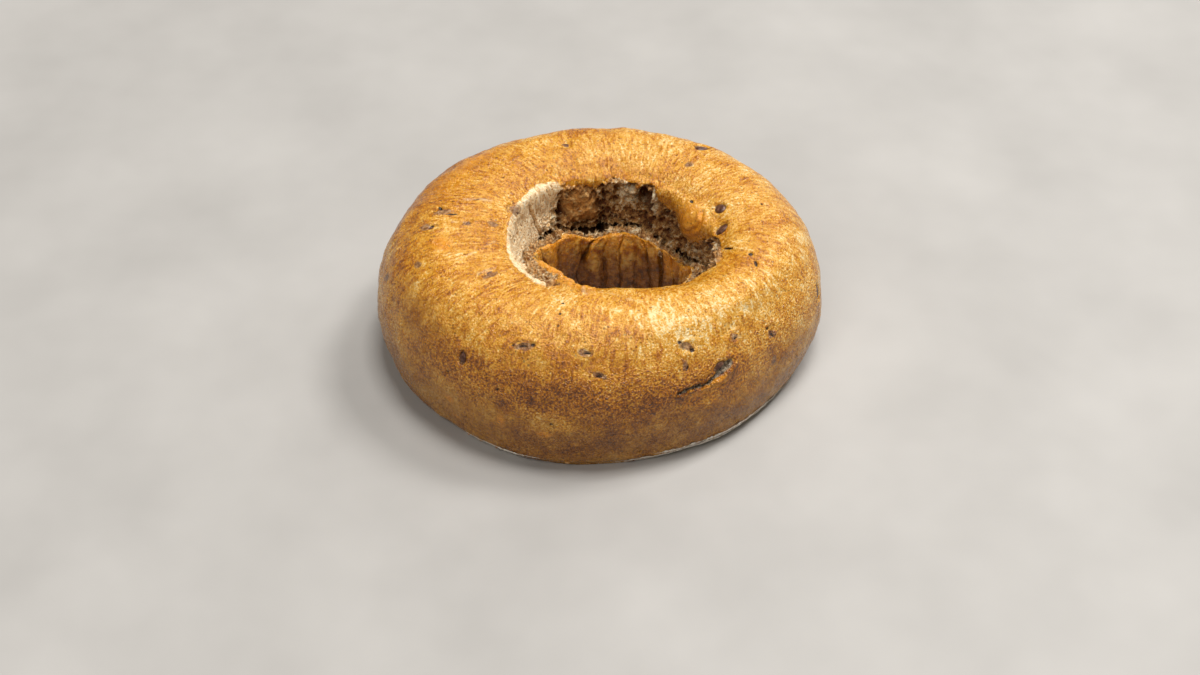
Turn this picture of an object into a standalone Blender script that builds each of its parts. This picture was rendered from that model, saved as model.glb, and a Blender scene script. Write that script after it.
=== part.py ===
"""Whole spelt bagel, in metres, +Z up, its origin on the tray under the middle of its outline.

The bagel is one closed ring. It starts as a torus primitive, and each of its points is moved to the
place that its two angles have on a loft: a stack of closed rings, each a curve in plan at a height,
that runs out along the flat base, up the side, over the crown, down the split wall of the hole, across
the ledge that the split left, and down the pleated bore. Kernels of whole spelt are fused to the crust.
"""

import math

import bpy
import numpy as np

MM = 0.001

# The plan, in millimetres: the outline, the rim of the hole and the bore, each a swollen ellipse.
OUTLINE_CENTRE = (-0.66, 0.66)
OUTLINE_HALF = (55.0, 48.4)
RIM_CENTRE = (2.64, 1.16)
RIM_HALF = (25.0, 20.6)
BORE_CENTRE = (3.14, 0.76)
BORE_HALF = (19.6, 14.8)

# Values that change around the ring are given at eight compass points: E, NE, N, NW, W, SW, S, SE.
# North is +Y, the side away from the viewer.
HEIGHT = (36.8, 37.1, 37.6, 37.8, 37.8, 37.6, 37.1, 36.8)
OUTLINE_SWELL = (1.8, 1.5, 0.0, -0.2, 0.0, 1.2, 0.8, -1.0)
FOOT_INSET = (7.8, 6.7, 7.0, 8.3, 6.8, 5.9, 4.8, 4.4)
RIM_SWELL = (1.0, -0.8, 0.4, 0.2, 0.0, 2.0, 0.4, 3.0)
BORE_SWELL = (0.0, 0.0, 0.0, 0.0, -0.4, -1.6, -0.5, 0.0)
RIM_DROP = (5.0, 4.8, 4.6, 3.8, 3.4, 4.6, 4.4, 4.6)
WALL_LEAN = (1.6, 1.2, 0.8, 2.0, 2.9, 2.4, 1.2, 1.8)
SPLIT_UNDERCUT = (1.0, 2.6, 2.2, 1.2, 0.3, 0.6, 0.8, 1.0)
SPLIT_DEPTH = (2.4, 3.2, 3.2, 2.3, 1.5, 1.6, 2.0, 2.2)
TEAR = (0.7, 1.0, 1.0, 0.7, 0.15, 0.4, 0.5, 0.4)

# The height of the lip of the bore at thirty-two points, from E and each an eighth of a quarter turn on.
LIP_HEIGHT = (
    21.6, 19.4, 17.2, 16.2, 17.0, 17.8, 19.4, 20.1, 19.7, 18.4, 19.6, 21.8, 20.9, 21.6, 22.8, 24.0,
    25.2, 26.3, 27.2, 27.8, 27.8, 27.3, 26.6, 25.2, 23.8, 23.0, 22.4, 22.6, 23.0, 23.3, 23.4, 22.8,
)

# The rings of the loft, from the foot up to the crown: the share of the foot's inset or the inset itself
# in millimetres, and the share of the height.
HEEL = ((0.55, 0.03), (0.20, 0.12))
SIDE = ((0.0, 0.36), (1.6, 0.64), (6.0, 0.86))
# Between the rim and the outline: the share of the way out, and the share of the height.
CROWN = ((0.60, 0.975), (0.38, 1.0))
# Down into the hole: millimetres out from the rim, drop as a share of the whole drop to the rim.
BROW = ((4.6, 0.22), (1.4, 0.62))
# Down the torn wall: shares of the lean and of the fall to the split, share of the tear, and how risen.
WALL = ((0.0, 0.0, 0.7, 0.5), (0.35, 0.33, 1.0, 0.0), (0.70, 0.62, 1.0, 0.0))
WALL_FOOT = 2.0
# Across the ledge of the split, from the wall to the lip: shares of the way out from the bore, heights over
# the split and below the lip in millimetres, and shares of the tear.
SPLIT_LIFT, SPLIT_TEAR = 0.4, 0.4
LEDGE_OUT, LEDGE_OUT_TEAR = 0.78, 0.35
LEDGE_IN, LEDGE_IN_SINK, LEDGE_IN_TEAR = 0.40, 0.6, 0.3
# Over the lip: millimetres out from the bore, millimetres below the lip, and how pleated the skin is.
LIP = ((0.5, 0.0, 0.15), (0.0, 1.0, 0.5), (-0.2, 4.0, 1.0))
# Down the bore: millimetres out from the bore, share of the lip's height, and how pleated the skin is.
BORE = ((-0.3, 0.55, 1.0), (0.0, 0.20, 0.8), (1.1, 0.03, 0.2))
SEAT_MARGIN = 4.2

# The crust curls in over the torn wall: the ring it curls at, its reach in rings, and its rise in millimetres.
CURL_RING, CURL_REACH, CURL = 12.15, 0.6, 1.0

# The relief, in millimetres.
SWELLING_SIZE, SWELLING = 26.0, 0.9
LUMP_SIZE, LUMP = 9.0, 0.28
CRAG_SIZE, CRAG = 4.6, 1.1
BASE_SINK = 0.6

# Creases that part the pleats of the bore: direction in degrees, depth and half width in millimetres.
CREASES = (
    (10.0, 0.7, 1.3), (31.0, 1.1, 1.2), (50.0, 0.9, 1.1), (70.0, 0.8, 1.2), (96.0, 0.8, 1.1),
    (112.5, 1.3, 1.2), (133.0, 0.6, 1.5), (155.0, 0.9, 1.2), (178.0, 0.6, 1.3), (197.0, 1.0, 1.1),
    (226.0, 0.7, 1.4), (243.0, 1.1, 1.2), (269.0, 0.8, 1.3), (284.0, 0.5, 1.2), (309.0, 1.0, 1.2),
    (336.0, 0.8, 1.3),
)

# Local swellings and pits, in millimetres: centre, reach, rise along the surface's normal, and the
# change in how torn it is there.
FEATURES = (
    ((22.4, 8.2, 28.6), 4.8, 3.4, -0.9),
    ((12.8, 21.6, 27.5), 2.9, -2.2, 0.2),
    ((-13.4, -9.6, 27.0), 3.6, 0.7, -0.2),
    ((-3.0, 21.6, 25.0), 3.4, 0.9, 0.0),
    ((31.0, -2.6, 30.0), 3.0, -0.6, 0.5),
    ((-33.2, 37.6, 22.0), 4.0, 0.6, 0.0),
)

# The torus primitive that the ring starts as.
AROUND, ACROSS = 88, 56
TORUS_RADIUS, TUBE_RADIUS = 40.0, 14.0
BELLY_RING = 5

# Spelt kernels that lie in the crust: direction round the ring in degrees, ring position on the loft,
# length and width in millimetres, and the kernel's turn in degrees from the direction round the ring.
KERNELS = (
    (15.5, 10.39, 2.8, 2.5, 44.0),
    (1.0, 11.05, 3.5, 2.0, 103.0),
    (5.8, 13.08, 3.6, 2.0, 165.0),
    (303.0, 6.16, 3.4, 1.8, 17.0),
    (295.0, 6.94, 3.9, 1.9, 177.0),
    (161.0, 11.85, 3.6, 2.6, 130.0),
    (181.5, 10.20, 2.8, 2.5, 112.0),
    (174.5, 8.43, 3.4, 1.7, 104.0),
    (184.8, 8.14, 4.0, 2.2, 92.0),
    (182.2, 9.32, 2.2, 1.8, 126.0),
    (218.5, 9.34, 3.9, 2.2, 95.0),
    (234.2, 6.36, 3.0, 1.8, 94.0),
    (249.8, 7.23, 4.4, 1.8, 12.0),
    (267.0, 7.25, 2.7, 1.8, 1.0),
    (323.0, 6.25, 2.8, 2.0, 25.0),
    (310.0, 6.67, 2.9, 1.8, 171.0),
    (349.0, 5.85, 4.3, 2.2, 85.0),
    (53.8, 8.01, 3.6, 2.4, 56.0),
    (69.2, 9.16, 2.4, 2.0, 19.0),
    (106.8, 9.07, 3.1, 2.2, 165.0),
    (38.0, 6.10, 3.8, 2.0, 30.0),
    (84.0, 6.60, 3.4, 2.1, 140.0),
    (121.0, 5.70, 3.9, 1.9, 80.0),
    (148.0, 6.90, 3.2, 2.2, 15.0),
)
KERNEL_THICK = 1.5
KERNEL_SUNK = 0.25
KERNEL_SIDES, KERNEL_RINGS = 8, 5
PROBE_STEP = 0.01

CRUST_COLOUR = (0.56, 0.31, 0.11, 1.0)
CRUMB_COLOUR = (0.42, 0.28, 0.17, 1.0)
TORN_FACE = 0.3


def closed_curve(values, place):
    """Catmull-Rom curve through values, closed, read at place, which counts in values."""
    count = len(values)
    start = np.floor(place).astype(int)
    u = (place - start).reshape(place.shape + (1,) * (values.ndim - 1))
    before, here, after, beyond = (values[(start + k) % count] for k in (-1, 0, 1, 2))
    bend = 2 * before - 5 * here + 4 * after - beyond
    twist = 3 * (here - after) + beyond - before
    return here + 0.5 * u * (after - before + u * (bend + u * twist))


def compass(values, angle):
    """A value given at evenly spaced compass points, read smoothly at every angle."""
    return closed_curve(np.array(values), angle / (2 * math.pi) * len(values))


def plan_curve(angle, centre, half, swell):
    """An ellipse in plan, moved out along its own normal by swell: rows of x and y."""
    cos, sin = np.cos(angle), np.sin(angle)
    normal = np.stack([cos / half[0], sin / half[1]], axis=-1)
    normal /= np.linalg.norm(normal, axis=-1, keepdims=True)
    on_ellipse = np.stack([centre[0] + half[0] * cos, centre[1] + half[1] * sin], axis=-1)
    return on_ellipse + swell[:, None] * normal


def lattice_slopes(corner, seed):
    """A repeatable slope, three numbers from -1 to 1, for each whole-number corner of a lattice."""
    mixed = np.sum(corner * np.array([374761393, 668265263, 2147483647]), axis=-1) + seed * 974634777
    slopes = []
    for turn in (13, 17, 11):
        mixed = ((mixed ^ (mixed >> turn)) & 0x7FFFFFFF) * 1274126177 & 0x7FFFFFFF
        slopes.append(mixed / 0x3FFFFFFF - 1.0)
    return np.stack(slopes, axis=-1)


def noise(points, size, seed):
    """Gradient noise of about -1 to 1, bumps size across: the slopes of the lattice corners, blended."""
    place = points / size
    corner = np.floor(place).astype(np.int64)
    inside = place - corner
    blend = inside**3 * (inside * (inside * 6 - 15) + 10)
    total = np.zeros(points.shape[:-1])
    for step in np.ndindex(2, 2, 2):
        weight = np.prod(np.where(step, blend, 1 - blend), axis=-1)
        slope = lattice_slopes(corner + np.array(step), seed)
        total += weight * np.sum(slope * (inside - step), axis=-1)
    return 1.6 * total


def loft_rings(angle):
    """The rings of the loft, in order: rows of x, y and z, how torn, how pleated and how risen it is."""
    height = compass(HEIGHT, angle)
    drop = compass(RIM_DROP, angle)
    rim_z = height - drop
    lip_z = compass(LIP_HEIGHT, angle)
    split_z = lip_z - compass(SPLIT_DEPTH, angle)
    lean = compass(WALL_LEAN, angle)
    undercut = compass(SPLIT_UNDERCUT, angle)
    foot = compass(FOOT_INSET, angle)
    tear = compass(TEAR, angle)
    none = 0 * angle

    def outer(inset):
        return plan_curve(angle, OUTLINE_CENTRE, OUTLINE_HALF, compass(OUTLINE_SWELL, angle) - inset)

    def rim(out):
        return plan_curve(angle, RIM_CENTRE, RIM_HALF, compass(RIM_SWELL, angle) + out)

    def bore(out):
        return plan_curve(angle, BORE_CENTRE, BORE_HALF, compass(BORE_SWELL, angle) + out)

    def between(inside, outside, share):
        return inside + (outside - inside) * share

    def ring(plan, z, torn=0.0, pleated=0.0, risen=1.0):
        return np.column_stack([plan, z, torn + none, pleated + none, risen + none])

    tray = none - BASE_SINK
    wall_fall = rim_z - split_z
    return (
        ring(bore(SEAT_MARGIN), tray),
        ring(between(bore(SEAT_MARGIN), outer(foot), 0.5), tray),
        ring(outer(foot), tray),
        *(ring(outer(inset * foot), share * height) for inset, share in HEEL),
        *(ring(outer(inset), share * height) for inset, share in SIDE),
        *(ring(between(rim(none), outer(none), out), share * height) for out, share in CROWN),
        *(ring(rim(out), height - share * drop) for out, share in BROW),
        *(
            ring(rim(-inward * lean), rim_z - down * wall_fall, torn=share * tear, risen=risen)
            for inward, down, share, risen in WALL
        ),
        ring(rim(-lean), split_z + WALL_FOOT, torn=tear, risen=0.0),
        ring(rim(undercut - lean), split_z + SPLIT_LIFT, torn=SPLIT_TEAR * tear, risen=0.0),
        ring(between(bore(none), rim(-lean), LEDGE_OUT), split_z, torn=LEDGE_OUT_TEAR * tear, risen=0.0),
        ring(between(bore(none), rim(-lean), LEDGE_IN), lip_z - LEDGE_IN_SINK, torn=LEDGE_IN_TEAR * tear, risen=0.0),
        *(ring(bore(out), lip_z - down, pleated=pleat, risen=0.0) for out, down, pleat in LIP),
        *(ring(bore(out), share * lip_z, pleated=pleat, risen=0.0) for out, share, pleat in BORE),
    )


def grid_normals(points):
    """Unit normals of a closed grid: the cross product of its two central differences."""
    along = np.roll(points, -1, axis=0) - np.roll(points, 1, axis=0)
    up = np.roll(points, -1, axis=1) - np.roll(points, 1, axis=1)
    normals = np.cross(along, up)
    return normals / np.linalg.norm(normals, axis=-1, keepdims=True)


def crease_relief(angle):
    """How far the bore's skin falls in at each crease, rising a little between them."""
    relief = np.zeros(angle.shape)
    for degrees, depth, half_width in CREASES:
        away = np.angle(np.exp(1j * (angle - math.radians(degrees)))) * BORE_HALF[0]
        relief -= depth * np.exp(-((away / half_width) ** 2))
    return relief - relief.mean()


def bread_surface(angle, place):
    """The surface in millimetres, on the grid of angle by place, and how torn it is at each point."""
    loft = np.moveaxis(closed_curve(np.stack(loft_rings(angle)), place), 0, 1)
    points = loft[..., :3]
    torn, pleated, risen = np.moveaxis(np.clip(loft[..., 3:], 0, 1), -1, 0)
    relief = SWELLING * risen * noise(points, SWELLING_SIZE, 1) + LUMP * noise(points, LUMP_SIZE, 2)
    relief = relief + pleated * crease_relief(angle)[:, None]
    curl = CURL * np.exp(-(((place - CURL_RING) / CURL_REACH) ** 2))
    relief = relief + compass(TEAR, angle)[:, None] * curl
    for centre, reach, rise, tearing in FEATURES:
        near = np.exp(-np.sum((points - np.array(centre)) ** 2, axis=-1) / reach**2)
        relief = relief + rise * near
        torn = np.clip(torn + tearing * near, 0, 1)
    relief = relief + CRAG * torn * noise(points, CRAG_SIZE, 3)
    points = points + relief[..., None] * grid_normals(points)
    points[..., 2] = np.maximum(points[..., 2], 0.0)
    return points, torn


def material(name, colour, roughness):
    made = bpy.data.materials.new(name)
    made.use_nodes = True
    shader = made.node_tree.nodes["Principled BSDF"]
    shader.inputs["Base Color"].default_value = colour
    shader.inputs["Roughness"].default_value = roughness
    shader.inputs["Metallic"].default_value = 0.0
    return made


def torus_angles(mesh):
    """The direction round the ring and the place on the loft of each row of the torus primitive."""
    flat = np.empty(len(mesh.vertices) * 3)
    mesh.vertices.foreach_get("co", flat)
    grid = flat.reshape(AROUND, ACROSS, 3) / MM
    angle = np.arctan2(grid[:, 0, 1], grid[:, 0, 0])
    tube = np.arctan2(grid[0, :, 2], np.hypot(grid[0, :, 0], grid[0, :, 1]) - TORUS_RADIUS)
    return angle, tube / (2 * math.pi)


def make_ring(collection):
    """The bagel's body: the torus primitive with its points moved onto the loft."""
    bpy.ops.mesh.primitive_torus_add(
        major_segments=AROUND,
        minor_segments=ACROSS,
        major_radius=TORUS_RADIUS * MM,
        minor_radius=TUBE_RADIUS * MM,
    )
    ring = bpy.context.active_object
    ring.name = "bagel"
    for owner in ring.users_collection:
        owner.objects.unlink(ring)
    collection.objects.link(ring)
    angle, turn = torus_angles(ring.data)
    ring_count = len(loft_rings(angle[:1]))
    points, torn = bread_surface(angle, (BELLY_RING + turn * ring_count) % ring_count)
    ring.data.vertices.foreach_set("co", (points * MM).ravel())
    ring.data.update()
    ring.data.materials.append(material("browned spelt crust", CRUST_COLOUR, 0.5))
    ring.data.materials.append(material("torn spelt crumb", CRUMB_COLOUR, 0.9))
    corner_torn = torn.ravel()
    for face in ring.data.polygons:
        face.material_index = int(corner_torn[face.vertices[0]] > TORN_FACE)
    return ring


def kernel_frame(degrees, place):
    """Where a kernel lies on the surface, with the direction round the ring and the normal there."""
    steps = np.arange(-2, 3) * PROBE_STEP
    points, _ = bread_surface(math.radians(degrees) + steps, place + steps)
    along = points[3, 2] - points[1, 2]
    normal = np.cross(along, points[2, 3] - points[2, 1])
    return points[2, 2], along / np.linalg.norm(along), normal / np.linalg.norm(normal)


def make_kernel(collection, number, degrees, place, length, width, turn):
    """One spelt kernel: a flattened ellipsoid, half sunk in the crust."""
    centre, along, normal = kernel_frame(degrees, place)
    across = np.cross(normal, along)
    cos, sin = math.cos(math.radians(turn)), math.sin(math.radians(turn))
    long_side = (cos * along + sin * across) * length / 2
    short_side = (cos * across - sin * along) * width / 2
    bpy.ops.mesh.primitive_uv_sphere_add(segments=KERNEL_SIDES, ring_count=KERNEL_RINGS, radius=1.0)
    kernel = bpy.context.active_object
    kernel.name = f"kernel_{number:02d}"
    kernel.hide_render = True
    for owner in kernel.users_collection:
        owner.objects.unlink(kernel)
    collection.objects.link(kernel)
    unit = np.empty(len(kernel.data.vertices) * 3)
    kernel.data.vertices.foreach_get("co", unit)
    axes = np.stack([long_side, short_side, normal * KERNEL_THICK / 2])
    shape = unit.reshape(-1, 3) @ axes + centre - normal * KERNEL_SUNK
    kernel.data.vertices.foreach_set("co", (shape * MM).ravel())
    kernel.data.update()


def fuse(ring, kernels):
    """Joins every kernel to the ring with one union, applies it, and removes the loose kernels."""
    union = ring.modifiers.new("fused kernels", "BOOLEAN")
    union.operation = "UNION"
    union.operand_type = "COLLECTION"
    union.collection = kernels
    union.solver = "EXACT"
    bpy.context.view_layer.update()
    graph = bpy.context.evaluated_depsgraph_get()
    joined = bpy.data.meshes.new_from_object(ring.evaluated_get(graph))
    ring.modifiers.clear()
    ring.data = joined
    for kernel in list(kernels.objects):
        bpy.data.objects.remove(kernel)
    bpy.data.collections.remove(kernels)


def main():
    for leftover in list(bpy.data.objects):
        bpy.data.objects.remove(leftover)
    part = bpy.data.collections.new("whole spelt bagel")
    kernels = bpy.data.collections.new("spelt kernels")
    for collection in (part, kernels):
        bpy.context.scene.collection.children.link(collection)
    ring = make_ring(part)
    for number, kernel in enumerate(KERNELS, start=1):
        make_kernel(kernels, number, *kernel)
    fuse(ring, kernels)
    ring.data.shade_smooth()


main()
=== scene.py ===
"""Looks of the spelt bagel, in metres, +Z up, on the frame of its solid.

The bread is one closed surface, worked out on a grid of two numbers: the angle round the ring and the place
on a loft of rings. It is drawn as four pieces, which meet at the shoulder, at the rim of the hole, in the
groove behind the lip, and at the foot. Kernels, torn crumb, the film of flour at the foot and flakes of crust
are pieces of their own.
"""
import math

import bpy
import numpy as np
from mathutils import Matrix


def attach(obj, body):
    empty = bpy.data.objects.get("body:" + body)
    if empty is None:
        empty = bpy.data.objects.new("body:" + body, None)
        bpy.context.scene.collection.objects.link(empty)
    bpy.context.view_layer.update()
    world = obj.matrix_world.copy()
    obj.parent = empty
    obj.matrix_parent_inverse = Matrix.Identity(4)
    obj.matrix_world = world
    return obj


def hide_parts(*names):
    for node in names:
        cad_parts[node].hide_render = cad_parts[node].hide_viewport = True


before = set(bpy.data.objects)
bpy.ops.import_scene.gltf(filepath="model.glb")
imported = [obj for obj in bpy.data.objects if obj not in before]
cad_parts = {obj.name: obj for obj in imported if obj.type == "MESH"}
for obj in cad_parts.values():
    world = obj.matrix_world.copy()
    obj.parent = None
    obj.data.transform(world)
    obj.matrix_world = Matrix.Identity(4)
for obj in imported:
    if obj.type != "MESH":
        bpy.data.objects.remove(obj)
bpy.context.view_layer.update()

MM = 0.001

# The plan, in millimetres: the outline, the rim of the hole and the bore, each a swollen ellipse.
OUTLINE_CENTRE = (-0.66, 0.66)
OUTLINE_HALF = (55.0, 48.4)
RIM_CENTRE = (2.64, 1.16)
RIM_HALF = (25.0, 20.6)
BORE_CENTRE = (3.14, 0.76)
BORE_HALF = (19.6, 14.8)

# Values that change around the ring are given at eight compass points: E, NE, N, NW, W, SW, S, SE.
# North is +Y, the side away from the viewer.
HEIGHT = (36.8, 37.1, 37.6, 37.8, 37.8, 37.6, 37.1, 36.8)
OUTLINE_SWELL = (1.8, 1.5, 0.0, -0.2, 0.0, 1.2, 0.8, -1.0)
FOOT_INSET = (7.8, 6.7, 7.0, 8.3, 6.8, 5.9, 4.8, 4.4)
RIM_SWELL = (1.0, -0.8, 0.4, 0.2, 0.0, 2.0, 0.4, 3.0)
BORE_SWELL = (0.0, 0.0, 0.0, 0.0, -0.4, -1.6, -0.5, 0.0)
RIM_DROP = (5.0, 4.8, 4.6, 3.8, 3.4, 4.6, 4.4, 4.6)
WALL_LEAN = (1.6, 1.2, 0.8, 2.0, 2.9, 2.4, 1.2, 1.8)
SPLIT_UNDERCUT = (1.0, 2.6, 2.2, 1.2, 0.3, 0.6, 0.8, 1.0)
SPLIT_DEPTH = (2.4, 3.2, 3.2, 2.3, 1.5, 1.6, 2.0, 2.2)
TEAR = (0.7, 1.0, 1.0, 0.7, 0.15, 0.4, 0.5, 0.4)

# The height of the lip of the bore at thirty-two points, from E and each an eighth of a quarter turn on.
LIP_HEIGHT = (
    21.6, 19.4, 17.2, 16.2, 17.0, 17.8, 19.4, 20.1, 19.7, 18.4, 19.6, 21.8, 20.9, 21.6, 22.8, 24.0,
    25.2, 26.3, 27.2, 27.8, 27.8, 27.3, 26.6, 25.2, 23.8, 23.0, 22.4, 22.6, 23.0, 23.3, 23.4, 22.8,
)

# The rings of the loft, from the foot up to the crown: the share of the foot's inset or the inset itself
# in millimetres, and the share of the height.
HEEL = ((0.55, 0.03), (0.20, 0.12))
SIDE = ((0.0, 0.36), (1.6, 0.64), (6.0, 0.86))
# Between the rim and the outline: the share of the way out, and the share of the height.
CROWN = ((0.60, 0.975), (0.38, 1.0))
# Down into the hole: millimetres out from the rim, drop as a share of the whole drop to the rim.
BROW = ((4.6, 0.22), (1.4, 0.62))
# Down the torn wall: shares of the lean and of the fall to the split, and how risen it is.
WALL = ((0.0, 0.0, 0.5), (0.35, 0.33, 0.0), (0.70, 0.62, 0.0))
WALL_FOOT = 2.0
# Across the ledge of the split, from the wall to the lip: heights over the split and below the lip in
# millimetres, and shares of the way out from the bore.
SPLIT_LIFT, LEDGE_IN_SINK = 0.4, 0.6
LEDGE_OUT, LEDGE_IN = 0.78, 0.40
# Over the lip: millimetres out from the bore, millimetres below the lip, and how pleated the skin is.
LIP = ((0.5, 0.0, 0.15), (0.0, 1.0, 0.5), (-0.2, 4.0, 1.0))
# Down the bore: millimetres out from the bore, share of the lip's height, and how pleated the skin is.
BORE = ((-0.3, 0.55, 1.0), (0.0, 0.20, 0.8), (1.1, 0.03, 0.2))
SEAT_MARGIN = 4.2

# The crust curls in over the torn wall: the ring it curls at, its reach in rings, and its rise in millimetres.
CURL_RING, CURL_REACH, CURL = 12.15, 0.6, 1.0
BASE_SINK = 0.6

# The relief, in millimetres.
SWELLING_SIZE, SWELLING = 26.0, 0.9
LUMP_SIZE, LUMP = 9.0, 0.28

# Creases that part the pleats of the bore: direction in degrees, depth and half width in millimetres.
CREASES = (
    (10, 0.7, 1.3), (31, 1.1, 1.2), (50, 0.9, 1.1), (70, 0.8, 1.2), (96, 0.8, 1.1),
    (112.5, 1.3, 1.2), (133, 0.6, 1.5), (155, 0.9, 1.2), (178, 0.6, 1.3), (197, 1, 1.1),
    (226, 0.7, 1.4), (243, 1.1, 1.2), (269, 0.8, 1.3), (284, 0.5, 1.2), (309, 1, 1.2),
    (336, 0.8, 1.3),
)

# Local swellings and pits, in millimetres: centre, reach, and rise along the surface's normal.
FEATURES = (
    ((22.4, 8.2, 28.6), 4.8, 3.4),
    ((12.8, 21.6, 27.5), 2.9, -2.2),
    ((-13.4, -9.6, 27), 3.6, 0.7),
    ((-3, 21.6, 25), 3.4, 0.9),
    ((31, -2.6, 30), 3, -0.6),
    ((-33.2, 37.6, 22), 4, 0.6),
)

# Spelt kernels that lie in the crust: direction round the ring in degrees, ring position on the loft,
# length and width in millimetres, and the kernel's turn in degrees from the direction round the ring.
KERNELS = (
    (15.5, 10.39, 2.8, 2.5, 44),
    (1, 11.05, 3.5, 2, 103),
    (5.8, 13.08, 3.6, 2, 165),
    (303, 6.16, 3.4, 1.8, 17),
    (295, 6.94, 3.9, 1.9, 177),
    (161, 11.85, 3.6, 2.6, 130),
    (181.5, 10.20, 2.8, 2.5, 112),
    (174.5, 8.43, 3.4, 1.7, 104),
    (184.8, 8.14, 4, 2.2, 92),
    (182.2, 9.32, 2.2, 1.8, 126),
    (218.5, 9.34, 3.9, 2.2, 95),
    (234.2, 6.36, 3, 1.8, 94),
    (249.8, 7.23, 4.4, 1.8, 12),
    (267, 7.25, 2.7, 1.8, 1),
    (323, 6.25, 2.8, 2, 25),
    (310, 6.67, 2.9, 1.8, 171),
    (349, 5.85, 4.3, 2.2, 85),
    (53.8, 8.01, 3.6, 2.4, 56),
    (69.2, 9.16, 2.4, 2, 19),
    (106.8, 9.07, 3.1, 2.2, 165),
    (38, 6.10, 3.8, 2, 30),
    (84, 6.60, 3.4, 2.1, 140),
    (121, 5.70, 3.9, 1.9, 80),
    (148, 6.90, 3.2, 2.2, 15),
)

# How far the crust covers each kernel, from 0 for bare to 1 for hidden.
KERNEL_COVER = (
    0, 0, 0.3, 0.3, 0.55, 0.75, 0.6, 0.8, 0.7, 0.6, 0.55, 0.3,
    0.8, 0.85, 0.55, 0.8, 0.1, 0.2, 0.6, 0.5, 0.5, 0.6, 0.5, 0.6,
)

# Places on the loft are given as the direction round the ring in degrees and the ring's position.
# The crack at the front right: its points, then its half width, depth and raised edge in millimetres.
CRACK = ((290.5, 5.83), (293.8, 5.87), (296.2, 5.84), (299, 5.84), (301.4, 5.95), (303.5, 6.02), (306.2, 6.13))
CRACK_WIDTH, CRACK_DEPTH, CRACK_EDGE = 0.36, 0.9, 0.42
CRACK_WIDENS, CRACK_WIDENS_AT = 1.7, (300, 302.5)

# Slits and pinholes in the crust: where, length and width in millimetres, and turn from the way round the ring.
SLITS = (
    (144.2, 9.52, 0.6, 0.6, 138), (164.5, 9.38, 2, 0.5, 111), (177, 8.84, 2.9, 0.6, 99),
    (184, 8.19, 1.8, 1.1, 128), (173, 8.37, 1.9, 0.9, 43), (182.8, 9.35, 1.7, 0.9, 156),
    (245.2, 5.92, 0.8, 0.8, 17), (256.2, 8.07, 0.7, 0.6, 8), (255.2, 8.58, 0.7, 0.7, 8),
    (253.8, 9.12, 1.1, 0.6, 145), (322, 6.36, 1.1, 0.8, 151), (323, 6.15, 1.8, 0.7, 105),
    (338.5, 9.12, 1.2, 1.2, 106), (334.2, 8.65, 2.3, 0.8, 37), (343, 10.52, 3.2, 0.6, 63),
    (234, 6.39, 2.6, 0.9, 123), (247, 7.16, 0.7, 0.7, 14), (252.2, 7.30, 1, 0.8, 11),
    (249.8, 7.20, 2.1, 0.5, 12), (267, 7.23, 2.1, 0.5, 176), (292.8, 7.16, 1, 0.8, 164),
    (296, 6.81, 1.4, 0.9, 1), (293.8, 6.41, 1.4, 0.5, 57), (270.8, 6.57, 2.8, 0.4, 166),
    (310.2, 6.64, 1.3, 0.4, 9), (180.2, 13.23, 0.9, 0.7, 144), (185, 12.44, 0.6, 0.5, 136),
    (207.5, 11.74, 1, 0.4, 131), (258.8, 5.24, 1.3, 0.4, 164), (268, 5.20, 0.9, 0.4, 114),
    (33.5, 11.55, 1.2, 0.8, 176), (11, 8.70, 0.6, 0.7, 80), (280.8, 4.10, 0.7, 0.7, 164),
    (230.3, 5.83, 0.9, 0.5, 29), (61, 6.80, 1.4, 0.6, 40), (95, 6.20, 1, 0.8, 80),
    (132, 6.40, 1.8, 0.6, 130), (108, 4.90, 1.2, 0.6, 20), (20, 6.10, 1.5, 0.6, 70),
)

# Grain that greys the crust over it: where, length and width in millimetres, and turn.
VEILS = (
    (183.8, 7.98, 2.8, 2.6, 91), (175.8, 8.49, 4.4, 2.4, 105), (183.8, 9.33, 2.4, 2, 125),
    (181.5, 10.22, 2.7, 2.5, 112), (161, 11.90, 3.4, 2.6, 130), (219.8, 9.28, 4.6, 2.2, 93),
    (250, 7.20, 4.6, 1.8, 12), (266.5, 7.23, 3.6, 1.8, 171), (270.8, 6.60, 4.8, 1.5, 160),
    (293.3, 6.46, 1.8, 2.6, 163), (309.8, 6.67, 2.6, 1.4, 0), (322.5, 5.41, 2.4, 2.2, 148),
    (51, 9.40, 2.3, 2, 27), (200.2, 7.53, 2.6, 2, 48), (192.5, 6.36, 3.4, 2.4, 45),
    (294.5, 6.99, 4.4, 2, 149), (323, 6.15, 2.6, 2.2, 150), (70, 6.00, 3.2, 2.2, 60),
    (128, 5.20, 3, 2, 10), (101, 6.90, 3, 2, 100),
)

# Where crumb begins below the torn edge of the crust.
TORN_EDGE = (
    (2.2, 12.2), (8, 12.8), (16, 13.1), (30, 13.5), (39, 13.5), (43, 12.9), (46, 12.6), (57, 12.7),
    (60.8, 12.3), (62.5, 11.8), (69.5, 11.95), (72, 12.2), (76, 11.95), (86, 11.8), (95, 12.1),
    (98, 12.35), (111.8, 12.3), (119.3, 12.15), (122, 12.6), (124, 13.3), (128, 14), (134, 14.4),
    (139, 14.9), (146, 16.2), (158, 16.6), (186, 17.4), (206, 17.3), (218, 14.6), (227, 12.4),
    (233.5, 10.85), (241, 9.95), (244.5, 10.6), (248, 12.2), (254, 13.6), (262, 14.6), (300, 14.6),
    (315, 13.6), (324, 12), (330, 11), (337, 10.85), (343.5, 11.15), (353.5, 11.65),
)

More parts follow.
